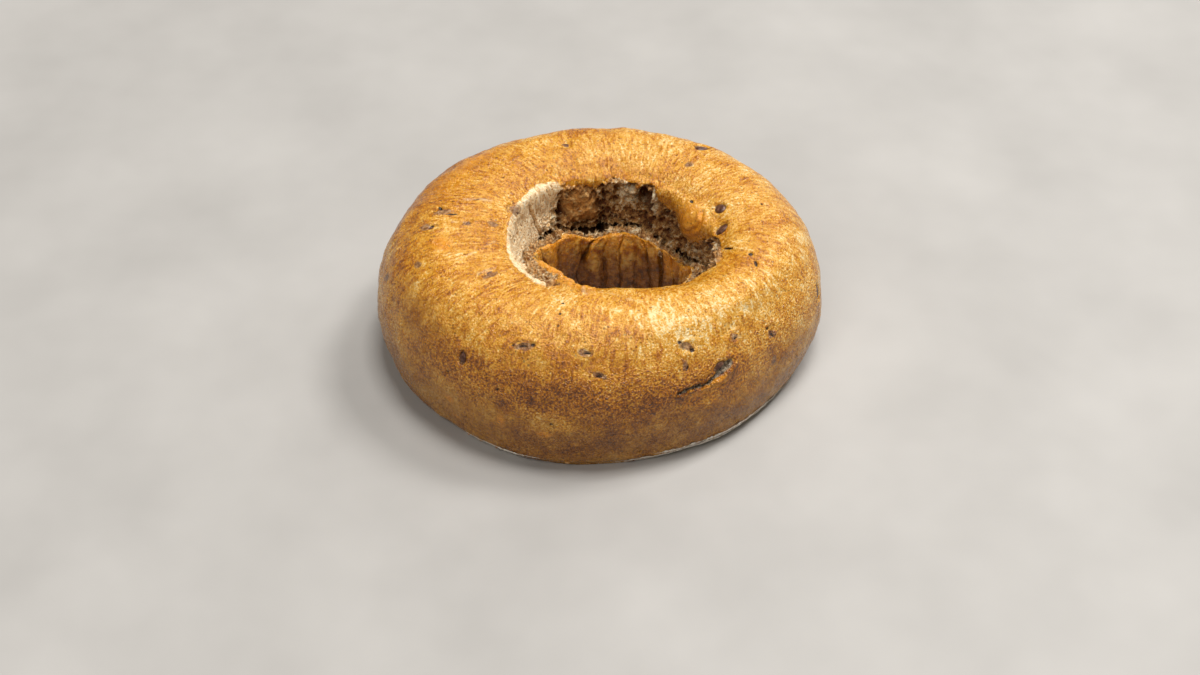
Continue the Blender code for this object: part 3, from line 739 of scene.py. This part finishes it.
def marks_relief(points):
    """Kernels in dents with a welt round them, skin greyed and raised over them, and slits, with four masks; the
    dent and slit masks lay painted shade into the dents and slits.
    """
    dent_shade, veil, split, ring, relief = (np.zeros(points.shape[:-1]) for _ in range(5))
    wobble = 1 + 0.16 * noise(points, 1.5, 44)
    for (degrees, at, length, width, slant), cover in zip(KERNELS, KERNEL_COVER):
        reach = oval_reach(points, local_frame(degrees, at, slant), length + 0.3, width + 0.3) * wobble
        relief -= 0.8 * (1 - cover) * hump(reach, 4)
        relief += 0.16 * hump((reach - 1.5) / 0.35) + 0.22 * cover * hump(reach)
        dent_shade = np.maximum(dent_shade, (1.5 - reach) * (cover < BARE))
        ring = np.maximum(ring, cover * hump((reach - 1.0) / 0.22))
    wobble = 1 + 0.25 * noise(points, 1.2, 45)
    for degrees, at, length, width, slant in VEILS:
        reach = oval_reach(points, local_frame(degrees, at, slant), length, width) * wobble
        veil = np.maximum(veil, hump(reach))
    wobble = 1 + 0.2 * noise(points, 0.9, 46)
    for degrees, at, length, width, slant in SLITS:
        reach = oval_reach(points, local_frame(degrees, at, slant), length, width) * wobble
        relief += 0.06 * hump((reach - 1.9) / 0.5) - 0.55 * hump(reach, 4)
        split = np.maximum(split, 1.5 - reach)
    return relief, {"dent_shade": dent_shade, "veil": veil, "split": split, "ring": ring}


def crack_relief(points, turn, on_loft):
    """The crack at the front right: a trough that widens to the right, with a raised lower edge, and its mask."""
    across = path_distance(points, path_on_bread(CRACK)) + 0.22 * noise(points, 1.1, 47)
    widen = 1 + CRACK_WIDENS * ease(*CRACK_WIDENS_AT, np.degrees(turn))
    away = np.maximum(across, 0) / (CRACK_WIDTH * widen)
    below = on_loft < np.interp(np.degrees(turn), *np.array(CRACK).T)
    return CRACK_EDGE * (0.4 + below) * hump((away - 1.8) / 0.6) - CRACK_DEPTH * hump(away, 4), 1.5 - away


def baking(points, turn, on_loft, rope):
    """How low, how browned, how toasted and how floured the bread is, each from 0 to 1; the browning also holds
    lighter patches of painted highlight and painted light.
    """
    low = 1 - ease(*FOOT_ROWS, on_loft + 0.35 * noise(points, 5.0, 55))
    low = np.maximum(np.maximum(low, bell(turn, on_loft, DULL_PATCH)), ease(*BASE_ROWS, on_loft))
    browned_and_lit = 0.40 + bell(turn, on_loft, BROWNING_AND_PAINTED_LIGHT) + layers(points, BAKED_BLOTCHES)
    toast = np.clip(bell(turn, on_loft, TOASTED) + rope + 0.10 * noise(points, 2.0, 56), 0, 1)
    foot_side = sum(strength * near_angle(turn, degrees, reach) for degrees, reach, strength in FLOURED)
    dust = foot_side * (1 - ease(1.2, 4.2, points[..., 2] + 2.0 * noise(points, 2.4, 54)))
    under = ease(*FLOUR_ROWS, on_loft + 0.5 * noise(points, 4.0, 64))
    return low, browned_and_lit, toast, dust * np.where(on_loft > BORE_MIDDLE, under, 1)


def bread():
    """The bread's grid with all its relief, in millimetres, and its masks, each from 0 to 1.

    A point is the smooth bread moved along its normal by the sum of the reliefs above. The lip's edge is
    ragged, and the base is flat.
    """
    angle = np.arange(COLUMNS) * 2 * math.pi / COLUMNS
    place = np.concatenate([np.linspace(low, high, rows, endpoint=False) for low, high, rows in ROWS])
    points = smooth_bread(angle, place)
    normals = grid_normals(points)
    turn, on_loft = np.broadcast_arrays(angle[:, None], place[None, :])
    crumb, pale, rope = torn_edges(points, turn, on_loft)
    skin = 1 - crumb
    inside = band(on_loft, *BORE_ROWS)
    upright = wrapped(turn, BORE_RADIUS, 0.12 * points[..., 2])
    flaked = fissure_mask(points)
    in_bore, crease_shade = bore_relief(points, turn, on_loft, upright, inside)
    in_crumb, crumb_masks = torn_relief(points, turn, on_loft, upright, crumb)
    at_marks, mark_masks = marks_relief(points)
    at_crack, cleft = crack_relief(points, turn, on_loft)
    relief = skin * skin_relief(points, turn, on_loft) + pale_relief(points, turn, on_loft, pale)
    relief = relief + in_bore + rolled_relief(points, turn, on_loft, skin, rope)
    relief = relief + flaked * (0.10 + 0.22 * noise(points, 0.8, 60)) + in_crumb + at_marks + at_crack

    ragged_lip = band(on_loft, *LIP_ROWS) * layers(wrapped(turn, BORE_RADIUS), RAGGED_LIP)
    points = points + ragged_lip[..., None] * [0, 0, 1]
    resting = ease(0.2, 1.6, points[..., 2])
    points = points + (relief * resting)[..., None] * normals
    points[..., 2] = np.maximum(points[..., 2], 0.0)

    low, browned_and_lit, toast, dust = baking(points, turn, on_loft, rope)
    # Some masks carry painted shade: down the bore, in its creases, in the crumb's pits, and in slits and dents;
    # some carry painted light: on the crumb's webs and in lighter patches of the crust.
    masks = {
        **crumb_masks, **mark_masks, "crumb": crumb, "pale": pale, "browned_and_lit": browned_and_lit, "toast": toast * skin,
        "pleated": inside * skin, "crease_shade": crease_shade, "dust": dust, "low": low, "flaked": flaked, "cleft": cleft,
        "veil": mark_masks["veil"] * skin, "shaft_shade": ease(*SHAFT_SHADE_ROWS, on_loft + 0.9 * noise(upright, 3.0, 62)),
    }
    masks = {label: np.clip(values, 0, 1) for label, values in masks.items()}
    masks["drawn"] = wrapped(turn, CROWN_RADIUS, 1.5 * on_loft)
    return place, points, masks


def mesh_object(name, points, faces, masks=None, normals=None):
    """A smooth piece from points in millimetres and rows of corner numbers, with masks and normals if given."""
    mesh = bpy.data.meshes.new(name)
    mesh.from_pydata((points * MM).tolist(), [], faces.tolist())
    mesh.shade_smooth()
    for label, values in (masks or {}).items():
        kind, field = ("FLOAT", "value") if values.ndim == 2 else ("FLOAT_VECTOR", "vector")
        mesh.attributes.new(label, kind, "POINT").data.foreach_set(field, np.asarray(values, np.float32).ravel())
    if normals is not None:
        mesh.normals_split_custom_set_from_vertices(normals.tolist())
    piece = bpy.data.objects.new(name, mesh)
    bpy.context.scene.collection.objects.link(piece)
    return piece


def strip_faces(columns, rows, closed_columns=True, closed_rows=False):
    """Four-cornered faces between neighbours of a grid of columns by rows, closed on itself as asked."""
    across = np.arange(columns if closed_columns else columns - 1)
    up = np.arange(rows if closed_rows else rows - 1)
    i, j = (axis.ravel() for axis in np.meshgrid(across, up, indexing="ij"))
    next_i, next_j = (i + 1) % columns, (j + 1) % rows
    return np.stack([i * rows + j, next_i * rows + j, next_i * rows + next_j, i * rows + next_j], axis=-1)


def bread_piece(name, points, normals, masks, rows):
    """The rows of the bread's grid that one piece takes."""
    chosen = points[:, rows]
    return mesh_object(
        name, chosen.reshape(-1, 3), strip_faces(len(chosen), len(rows)),
        {label: values[:, rows] for label, values in masks.items()}, normals[:, rows].reshape(-1, 3),
    )


def many(shape, faces, frames):
    """Copies of a small shape as one mesh: each is the shape's points times its three axes, plus its centre."""
    points = np.einsum("pk,nkc->npc", shape, frames[:, :3]) + frames[:, 3:4]
    offsets = np.arange(len(frames))[:, None, None] * len(shape)
    return points.reshape(-1, 3), (faces[None] + offsets).reshape(-1, faces.shape[-1])


def ball(columns, rows):
    """A unit ball along its first axis: circles from pole to pole, whose end rows are drawn in to almost nothing."""
    turn = np.arange(columns) * 2 * math.pi / columns
    rise = np.linspace(-0.5, 0.5, rows) * math.pi * 0.998
    grid = np.stack([
        np.sin(rise)[None, :] + 0 * turn[:, None],
        np.cos(rise)[None, :] * np.cos(turn)[:, None],
        np.cos(rise)[None, :] * np.sin(turn)[:, None],
    ], axis=-1)
    return grid, strip_faces(columns, rows)


def linear(code, alpha=1.0):
    """A colour of three sRGB hex pairs as linear light."""
    values = np.array([int(code[k:k + 2], 16) for k in (1, 3, 5)]) / 255
    light = np.where(values <= 0.04045, values / 12.92, ((values + 0.055) / 1.055) ** 2.4)
    return (*light.tolist(), alpha)


def node(tree, kind, settings=None, **links):
    """Adds a node, sets what settings names, and links or fills its sockets by name, or by number as i0, i1."""
    made = tree.nodes.new(kind)
    for label, value in (settings or {}).items():
        setattr(made, label, value)
    for label, value in links.items():
        numbered = label[0] == "i" and label[1:].isdigit()
        socket = made.inputs[int(label[1:]) if numbered else label.replace("_", " ")]
        if isinstance(value, bpy.types.NodeSocket):
            tree.links.new(value, socket)
        else:
            socket.default_value = value
    return made


def new_material(name):
    """A material, its node tree, its Principled shader, and the object coordinates in millimetres."""
    made = bpy.data.materials.new(name)
    made.use_nodes = True
    tree = made.node_tree
    place = node(tree, "ShaderNodeTexCoord").outputs["Object"]
    in_mm = node(tree, "ShaderNodeVectorMath", {"operation": "SCALE"}, i0=place, Scale=1000.0).outputs[0]
    return made, tree, tree.nodes["Principled BSDF"], in_mm


def mask(tree, label):
    return node(tree, "ShaderNodeAttribute", {"attribute_name": label}).outputs["Fac"]


def drawn(tree):
    """Coordinates in which noise is drawn out across the ring."""
    return node(tree, "ShaderNodeAttribute", {"attribute_name": "drawn"}).outputs["Vector"]


def speckle(tree, place, size, detail=2.0, roughness=0.55):
    """Noise of 0 to 1 whose bumps are size millimetres across."""
    made = node(tree, "ShaderNodeTexNoise", None, Vector=place, Scale=1.0 / size, Detail=detail, Roughness=roughness)
    return made.outputs["Fac"]


def maths(tree, operation, *values):
    """Values joined by one operation, from the first to the last."""
    total = values[0]
    for value in values[1:]:
        total = node(tree, "ShaderNodeMath", {"operation": operation}, i0=total, i1=value).outputs[0]
    return total


def times(tree, first, second):
    return maths(tree, "MULTIPLY", first, second)


def swing(tree, value, strength):
    """Noise of 0 to 1 as a swing about nothing, strength from end to end."""
    return times(tree, maths(tree, "SUBTRACT", value, 0.5), strength)


def scaled(tree, value, low, high, to_low=0.0, to_high=1.0):
    return node(
        tree, "ShaderNodeMapRange", {"interpolation_type": "SMOOTHSTEP"}, Value=value,
        From_Min=low, From_Max=high, To_Min=to_low, To_Max=to_high,
    ).outputs["Result"]


def broken(tree, value, grain, strength, low, high, most=1.0):
    """A mask that rises from low to high, with its edge broken up by noise."""
    return scaled(tree, maths(tree, "ADD", value, swing(tree, grain, strength)), low, high, 0.0, most)


def mix(tree, share, first, second, blend="MIX"):
    made = node(tree, "ShaderNodeMix", {"data_type": "RGBA", "blend_type": blend}, i0=share, i6=first, i7=second)
    return made.outputs[2]


def ramp(tree, value, label):
    """The tones of one label, blended between."""
    made = node(tree, "ShaderNodeValToRGB", None, Fac=value)
    line, stops = made.color_ramp, TONES[label]
    while len(line.elements) < len(stops):
        line.elements.new(0.5)
    for element, (place, code) in zip(line.elements, stops):
        element.position = place
        element.color = linear(code)
    return made.outputs["Color"]


def bump(tree, height, strength, distance_mm, normal=None):
    made = node(tree, "ShaderNodeBump", None, Height=height, Strength=strength, Distance=distance_mm * MM)
    if normal is not None:
        tree.links.new(normal, made.inputs["Normal"])
    return made.outputs["Normal"]


def skin_colour(tree, place, masks, mottle, wrinkles):
    """The crust from golden to toasted brown, with lighter patches of painted highlight and painted light, the pale
    stretched skin, and the orange skin of the bore, with painted shade down the hole and in its creases.
    """
    low, toast = masks["low"], masks["toast"]
    blotch = maths(tree, "ADD", swing(tree, speckle(tree, place, 5.0, 3.0), 0.55), swing(tree, mottle, 0.42))
    fine = times(tree, swing(tree, wrinkles, 2.0), scaled(tree, low, 0.0, 0.8, 1.0, 0.6))
    brown = maths(tree, "ADD", masks["browned_and_lit"], blotch, fine)
    # The side near the foot, and the left front, are duller and more tan than the top.
    skin = mix(tree, times(tree, low, 0.8), ramp(tree, brown, "crust"), ramp(tree, brown, "foot"))
    # Patches where the wash pooled have toasted to a clear orange brown.
    glaze = ramp(tree, maths(tree, "ADD", mottle, swing(tree, wrinkles, 0.4)), "glaze")
    skin = mix(tree, broken(tree, toast, mottle, 0.5, 0.25, 0.8, 0.85), skin, glaze)
    # The pale skin stretched without browning, and holds fine grey-brown bran.
    pale = broken(tree, masks["pale"], wrinkles, 0.9, 0.15, 0.85)
    skin = mix(tree, pale, skin, ramp(tree, wrinkles, "stretched skin"))

    # The skin of the bore is golden orange at the lip, with upright streaks; painted shade darkens it to dark brown
    # further down the hole, and darkens its creases.
    drawn_out = speckle(tree, drawn(tree), 1.8, 3.0)
    streak = maths(tree, "ADD", times(tree, drawn_out, 0.3), times(tree, speckle(tree, place, 2.2, 4.0), 0.7))
    inner = mix(tree, times(tree, toast, 0.8), ramp(tree, streak, "bore"), glaze)
    inner = mix(tree, times(tree, masks["shaft_shade"], 0.85), inner, ramp(tree, streak, "painted bore shade"))
    inner = mix(tree, scaled(tree, masks["crease_shade"], 0.25, 0.95, 0.0, 0.8), inner, linear(CREASE_SHADE))
    return mix(tree, times(tree, masks["pleated"], 0.92), skin, inner)


def crumb_colour(tree, place, masks, mottle):
    """Torn grey-brown wholegrain bread, paler with painted light on its webs, darker with painted shade in its
    bubbles, toasted on the flat slab.
    """
    # Painted light makes the crumb paler on its lit webs; painted shade darkens it in its deep pits.
    lit_web = maths(tree, "ADD", speckle(tree, place, 0.9, 4.0, 0.7), swing(tree, masks["lit_webs"], 0.30))
    torn = mix(tree, times(tree, masks["slab"], 0.8), ramp(tree, lit_web, "crumb"), ramp(tree, mottle, "slab"))
    return mix(tree, times(tree, masks["deep_pit_shade"], 0.80), torn, linear(BUBBLE_SHADE))


def marked(tree, colour, place, masks, mottle, wrinkles):
    """The colour with its marks: veiled kernels, flaked skin, bran, painted shade in the slits and in the dents of
    bare kernels, and the crack where skin is gone.
    """
    # Kernels under the skin grey it to a dull violet brown, with a dark thin edge on some.
    veil = broken(tree, masks["veil"], mottle, 0.9, 0.25, 0.65, 0.85)
    colour = mix(tree, veil, colour, ramp(tree, speckle(tree, place, 0.8, 2.0), "veiled grain"))
    colour = mix(tree, broken(tree, masks["ring"], wrinkles, 0.9, 0.35, 0.9, 0.75), colour, linear(GRAIN_EDGE))
    colour = mix(tree, times(tree, masks["flaked"], 0.45), colour, linear(FLAKED_SKIN))

    # Bran: flecks of about 0.4 mm spaced 1.4 mm, and dust finer than that.
    cells = node(
        tree, "ShaderNodeTexVoronoi", {"feature": "F1"}, Vector=place, Scale=1 / BRAN_SPACING, Randomness=1.0,
    ).outputs["Distance"]
    patchy = maths(tree, "ADD", cells, times(tree, speckle(tree, place, 4.0), 0.30))
    colour = mix(tree, times(tree, scaled(tree, patchy, 0.36, 0.24), 0.62), colour, linear(BRAN))
    bran_dust = scaled(tree, speckle(tree, place, 0.30, 1.0), 0.63, 0.74)
    colour = mix(tree, times(tree, bran_dust, 0.45), colour, linear(BRAN_DUST))

    # Slits, and the dents round bare kernels, are painted dark as shade.
    gaping_shade = broken(tree, masks["split"], wrinkles, 0.6, 0.40, 0.62)
    hollow_shade = maths(tree, "MAXIMUM", scaled(tree, masks["dent_shade"], 0.4, 0.6, 0.0, 0.75), gaping_shade)
    colour = mix(tree, hollow_shade, colour, ramp(tree, wrinkles, "slit and dent shade"))
    cracked = broken(tree, masks["cleft"], mottle, 0.6, 0.40, 0.62)
    return mix(tree, cracked, colour, ramp(tree, speckle(tree, place, 0.7, 3.0, 0.7), "crack"))


def browned_crust():
    """Baked wholegrain crust, washed before baking: golden to toasted brown, full of bran, with a thin gloss."""
    made, tree, shader, place = new_material("browned spelt crust")
    masks = {label: mask(tree, label) for label in MASKS}
    mottle = speckle(tree, place, 1.6, 3.0, 0.6)
    # The wrinkles run across the ring on top, 33 mm up, and have no direction below 25 mm.
    height = node(tree, "ShaderNodeSeparateXYZ", None, Vector=place).outputs["Z"]
    fibres = scaled(tree, height, 25.0, 33.0, 0.15, 0.46)
    even = times(tree, speckle(tree, place, 0.5, 2.0, 0.6), maths(tree, "SUBTRACT", 1.0, fibres))
    wrinkles = maths(tree, "ADD", even, times(tree, speckle(tree, drawn(tree), 0.65, 2.0, 0.6), fibres))

    bare_crumb = broken(tree, masks["crumb"], mottle, 0.5, 0.35, 0.65)
    skin = skin_colour(tree, place, masks, mottle, wrinkles)
    colour = mix(tree, bare_crumb, skin, crumb_colour(tree, place, masks, mottle))
    colour = marked(tree, colour, place, masks, mottle, wrinkles)
    floury = maths(tree, "ADD", masks["dust"], times(tree, speckle(tree, place, 0.9, 3.0), 0.8))
    flour = scaled(tree, floury, 0.80, 1.10)
    colour = mix(tree, times(tree, flour, 0.85), colour, linear(FLOUR))
    tree.links.new(colour, shader.inputs["Base Color"])

    # Baked starch gloss, broken up by the grain; crumb, pale skin and flour are matt.
    matt = maths(tree, "MAXIMUM", masks["crumb"], flour, times(tree, masks["pale"], 0.85))
    gloss = scaled(tree, speckle(tree, place, 2.2, 3.0), 0.3, 0.7, 0.16, 0.32)
    gloss = maths(tree, "SUBTRACT", gloss, times(tree, masks["toast"], 0.06))
    tree.links.new(maths(tree, "MAXIMUM", gloss, times(tree, matt, 0.85)), shader.inputs["Roughness"])
    shader.inputs["IOR"].default_value = 1.55

    # Fine skin texture: the wrinkles and grain of 0.3 mm; coarser in the crumb.
    fine = maths(tree, "ADD", wrinkles, times(tree, speckle(tree, place, 0.30, 2.0), 0.25))
    rough_crumb = times(tree, speckle(tree, place, 0.6, 4.0, 0.7), masks["crumb"])
    normal = bump(tree, rough_crumb, 0.9, 0.6, bump(tree, fine, 1.0, 0.68))
    tree.links.new(normal, shader.inputs["Normal"])
    return made


def plain_material(name):
    """A material of one noise ramp with a matching fine relief."""
    size, roughness, bump_size, bump_depth = PLAIN_MATERIALS[name]
    made, tree, shader, place = new_material(name)
    tree.links.new(ramp(tree, speckle(tree, place, size, 3.0), name), shader.inputs["Base Color"])
    shader.inputs["Roughness"].default_value = roughness
    shader.inputs["IOR"].default_value = 1.45
    tree.links.new(bump(tree, speckle(tree, place, bump_size, 3.0), 0.6, bump_depth), shader.inputs["Normal"])
    return made


def kernels():
    """Spelt kernels: flattened balls with blunt ends, drawn in along one line for the crease.

    In the unit ball the crease takes up to 0.25 off the height where the short side is near 0, as a bell
    curve, and slow noise takes the ball out of true. Covered kernels lie deeper.
    """
    grid, faces = ball(28, 17)
    grid = np.sign(grid) * np.abs(grid) ** 0.92
    crease = np.exp(-((grid[..., 1] / 0.22) ** 2)) * (grid[..., 2] > 0)
    grid[..., 2] -= 0.25 * crease * grid[..., 2]
    grid = grid * (1 + 0.10 * noise(grid, 0.8, 49))[..., None]
    frames = []
    for (degrees, place, length, width, turn), cover in zip(KERNELS, KERNEL_COVER):
        centre, long_side, short_side, normal = local_frame(degrees, place, turn)
        sunk = 0.62 + 0.60 * cover
        frames.append([long_side * length * 0.5, short_side * width * 0.5, normal * 0.75, centre - normal * sunk])
    points, faces = many(grid.reshape(-1, 3), faces, np.array(frames))
    return mesh_object("spelt_kernels", points, faces)


def crumb_shreds(points, masks, place):
    """Torn webs of crumb: bent tapering threads and scraps that stand out of the torn wall and the lip.

    Each is a tube along its first axis, thinned as the root of 1 minus the share of the way squared, and
    bent by a parabola. Its axis is the wall's normal turned at random; lengths run from 0.4 to 1.6 mm.
    """
    chance = np.random.default_rng(SHRED_SEED)
    columns, rows = 5, 5
    turn = np.arange(columns) * 2 * math.pi / columns
    share = np.linspace(0, 1, rows)
    radius = np.maximum(np.sqrt(1 - share**2), 0.02)
    grid = np.stack([
        share[None, :] + 0 * turn[:, None],
        radius[None, :] * np.cos(turn)[:, None],
        radius[None, :] * np.sin(turn)[:, None] + 1.6 * share[None, :] ** 2,
    ], axis=-1)
    faces = strip_faces(columns, rows)
    ragged = 0.35 + 1.4 * ease(17.6, 18.6, place) + 0.8 * masks["deep_pit_shade"]
    weight = masks["crumb"] * (1 - 0.85 * masks["slab"]) * ragged
    weight = np.where(masks["crumb"] > 0.6, weight, 0).ravel()
    picked = chance.choice(weight.size, size=SHRED_COUNT, replace=False, p=weight / weight.sum())
    centres = points.reshape(-1, 3)[picked]
    outward = grid_normals(points).reshape(-1, 3)[picked]
    axis = outward * chance.uniform(0.2, 1.0, (SHRED_COUNT, 1))
    axis = axis + chance.normal(0, 0.6, (SHRED_COUNT, 3)) + [0, 0, 0.15]
    axis /= np.linalg.norm(axis, axis=-1, keepdims=True)
    side = np.cross(axis, chance.normal(0, 1, (SHRED_COUNT, 3)))
    side /= np.linalg.norm(side, axis=-1, keepdims=True)
    third = np.cross(axis, side)
    length = chance.uniform(0.35, 1.0, (SHRED_COUNT, 1)) ** 1.5 * 1.5
    thick = chance.uniform(0.07, 0.24, (SHRED_COUNT, 1))
    flat = chance.uniform(0.3, 1.0, (SHRED_COUNT, 1))
    frames = np.stack([axis * length, side * thick, third * thick * flat, centres - outward * 0.15], axis=1)
    shape, faces = many(grid.reshape(-1, 3), faces, frames)
    return mesh_object("crumb_shreds", shape, faces)


def flour_strips():
    """Flaking film at the foot: flat ribbons that follow the heel, with ragged edges that die out.

    A ribbon's section is a flat ellipse that leans with the heel. Its height is 0.95 mm times a ragged noise
    that falls to nothing at gaps and at both ends.
    """
    pieces, face_rows, count = [], [], 0
    section = np.arange(10) * 2 * math.pi / 10
    for start, end, level, seed in FLOUR_STRIPS:
        way_round = np.radians(np.linspace(start, end, 264))
        surface = smooth_bread(way_round, level + np.arange(-2, 3) * 0.05)[2:-2]
        up = surface[:, 3] - surface[:, 1]
        up /= np.linalg.norm(up, axis=-1, keepdims=True)
        spots = surface[:, 2]
        out = np.cross(np.gradient(spots, axis=0), up)
        out /= np.linalg.norm(out, axis=-1, keepdims=True)
        fade = np.sin(np.linspace(0, math.pi, len(spots))) ** 0.4
        ragged = 0.10 + layers(spots, ((3.1, 0.8, 60 + seed), (0.9, 0.9, 70 + seed)))
        height = 0.95 * np.clip(ragged, 0.02, 1) * fade
        lift = 0.22 + 0.25 * np.clip(noise(spots, 2.2, 80 + seed), 0, 1)
        ribbon = (
            spots[:, None]
            + (height[:, None] * np.cos(section))[..., None] * up[:, None]
            + (lift[:, None] + 0.09 * fade[:, None] * np.sin(section))[..., None] * out[:, None]
        )
        ribbon[..., 2] = np.maximum(ribbon[..., 2], 0.03)
        pieces.append(ribbon.reshape(-1, 3))
        face_rows.append(strip_faces(len(spots), 10, closed_columns=False, closed_rows=True) + count)
        count += ribbon.shape[0] * ribbon.shape[1]
    return mesh_object("flour_film", np.concatenate(pieces), np.concatenate(face_rows))


def crust_flakes():
    """Flakes of crust caught at the foot: flattened balls, two larger ones in front and small ones all round."""
    chance = np.random.default_rng(FLAKE_SEED)
    grid, faces = ball(12, 9)
    grid = grid * (1 + 0.25 * noise(grid, 0.9, 63))[..., None]
    directions, sizes = chance.uniform(0, 360, FLAKE_COUNT), chance.uniform(0.5, 1.1, FLAKE_COUNT)
    frames = []
    for degrees, length, width in (*FRONT_FLAKES, *zip(directions, sizes, sizes * 0.7)):
        centre, long_side, short_side, normal = local_frame(degrees, 3.45, 20.0)
        frames.append([long_side * length * 0.5, short_side * width * 0.5, normal * 0.28, centre + normal * 0.1])
    points, faces = many(grid.reshape(-1, 3), faces, np.array(frames))
    points[:, 2] = np.maximum(points[:, 2], 0.02)
    return mesh_object("crust_flakes", points, faces)


def dress(piece, material):
    piece.data.materials.append(material)
    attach(piece, "root")
    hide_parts("bagel")


def aim(thing, place, target):
    """Puts a camera or a light at a place with its -Z axis towards the target and its top upwards."""
    place, target = np.array(place, float), np.array(target, float)
    back = (place - target) / np.linalg.norm(place - target)
    right = np.cross([0, 0, 1], back)
    right /= np.linalg.norm(right)
    turned = np.eye(4)
    turned[:3] = np.column_stack([right, np.cross(back, right), back, place])
    thing.matrix_world = Matrix(turned.tolist())
    bpy.context.scene.collection.objects.link(thing)


def set_stage():
    """Floor, soft lights from behind right, above and in front left, pale surroundings, and the camera."""
    corners = FLOOR_HALF * np.array([(-1, -1, 0), (1, -1, 0), (1, 1, 0), (-1, 1, 0)]) - [0, 0, FLOOR_GAP]
    floor = mesh_object("floor", corners, np.array([[0, 1, 2, 3]]))
    floor.data.materials.append(plain_material("pale stone floor"))

    for name, (place, size, watts, colour) in LIGHTS.items():
        lamp = bpy.data.lights.new(name, "AREA")
        lamp.size, lamp.energy, lamp.color = size, watts, colour
        aim(bpy.data.objects.new(name, lamp), place, LIGHTS_AIM)

    world = bpy.data.worlds.new("pale room")
    world.use_nodes = True
    backdrop = world.node_tree.nodes["Background"]
    backdrop.inputs["Color"].default_value = linear(ROOM)
    backdrop.inputs["Strength"].default_value = ROOM_STRENGTH
    bpy.context.scene.world = world

    lens = bpy.data.cameras.new("camera")
    lens.sensor_width, lens.lens, lens.clip_start = SENSOR, LENS, 0.01
    camera = bpy.data.objects.new("camera", lens)
    tilt = math.radians(CAMERA_RISE)
    away = CAMERA_DISTANCE * np.array([0, -math.cos(tilt), math.sin(tilt)])
    aim(camera, (CAMERA_TARGET + away) * MM, np.array(CAMERA_TARGET) * MM)
    bpy.context.scene.camera = camera
    bpy.context.scene.view_settings.view_transform = "Standard"


def main():
    place, points, masks = bread()
    normals = grid_normals(points)
    crust = browned_crust()
    rows = np.arange(len(place))
    stretches = {
        "crust_side": rows[place <= SIDE_SEAM],
        "crust_top": rows[(place >= SIDE_SEAM) & (place <= RIM_SEAM)],
        "torn_wall": rows[(place >= RIM_SEAM) & (place <= LIP_SEAM)],
        "bore": np.append(rows[place >= LIP_SEAM], 0),
    }
    for name, chosen in stretches.items():
        dress(bread_piece(name, points, normals, masks, chosen), crust)
    dress(kernels(), plain_material("cooked spelt kernel"))
    dress(crumb_shreds(points, masks, place), plain_material("torn spelt crumb"))
    dress(flour_strips(), plain_material("dried flour film"))
    dress(crust_flakes(), plain_material("flaked brown crust"))
    set_stage()


main()
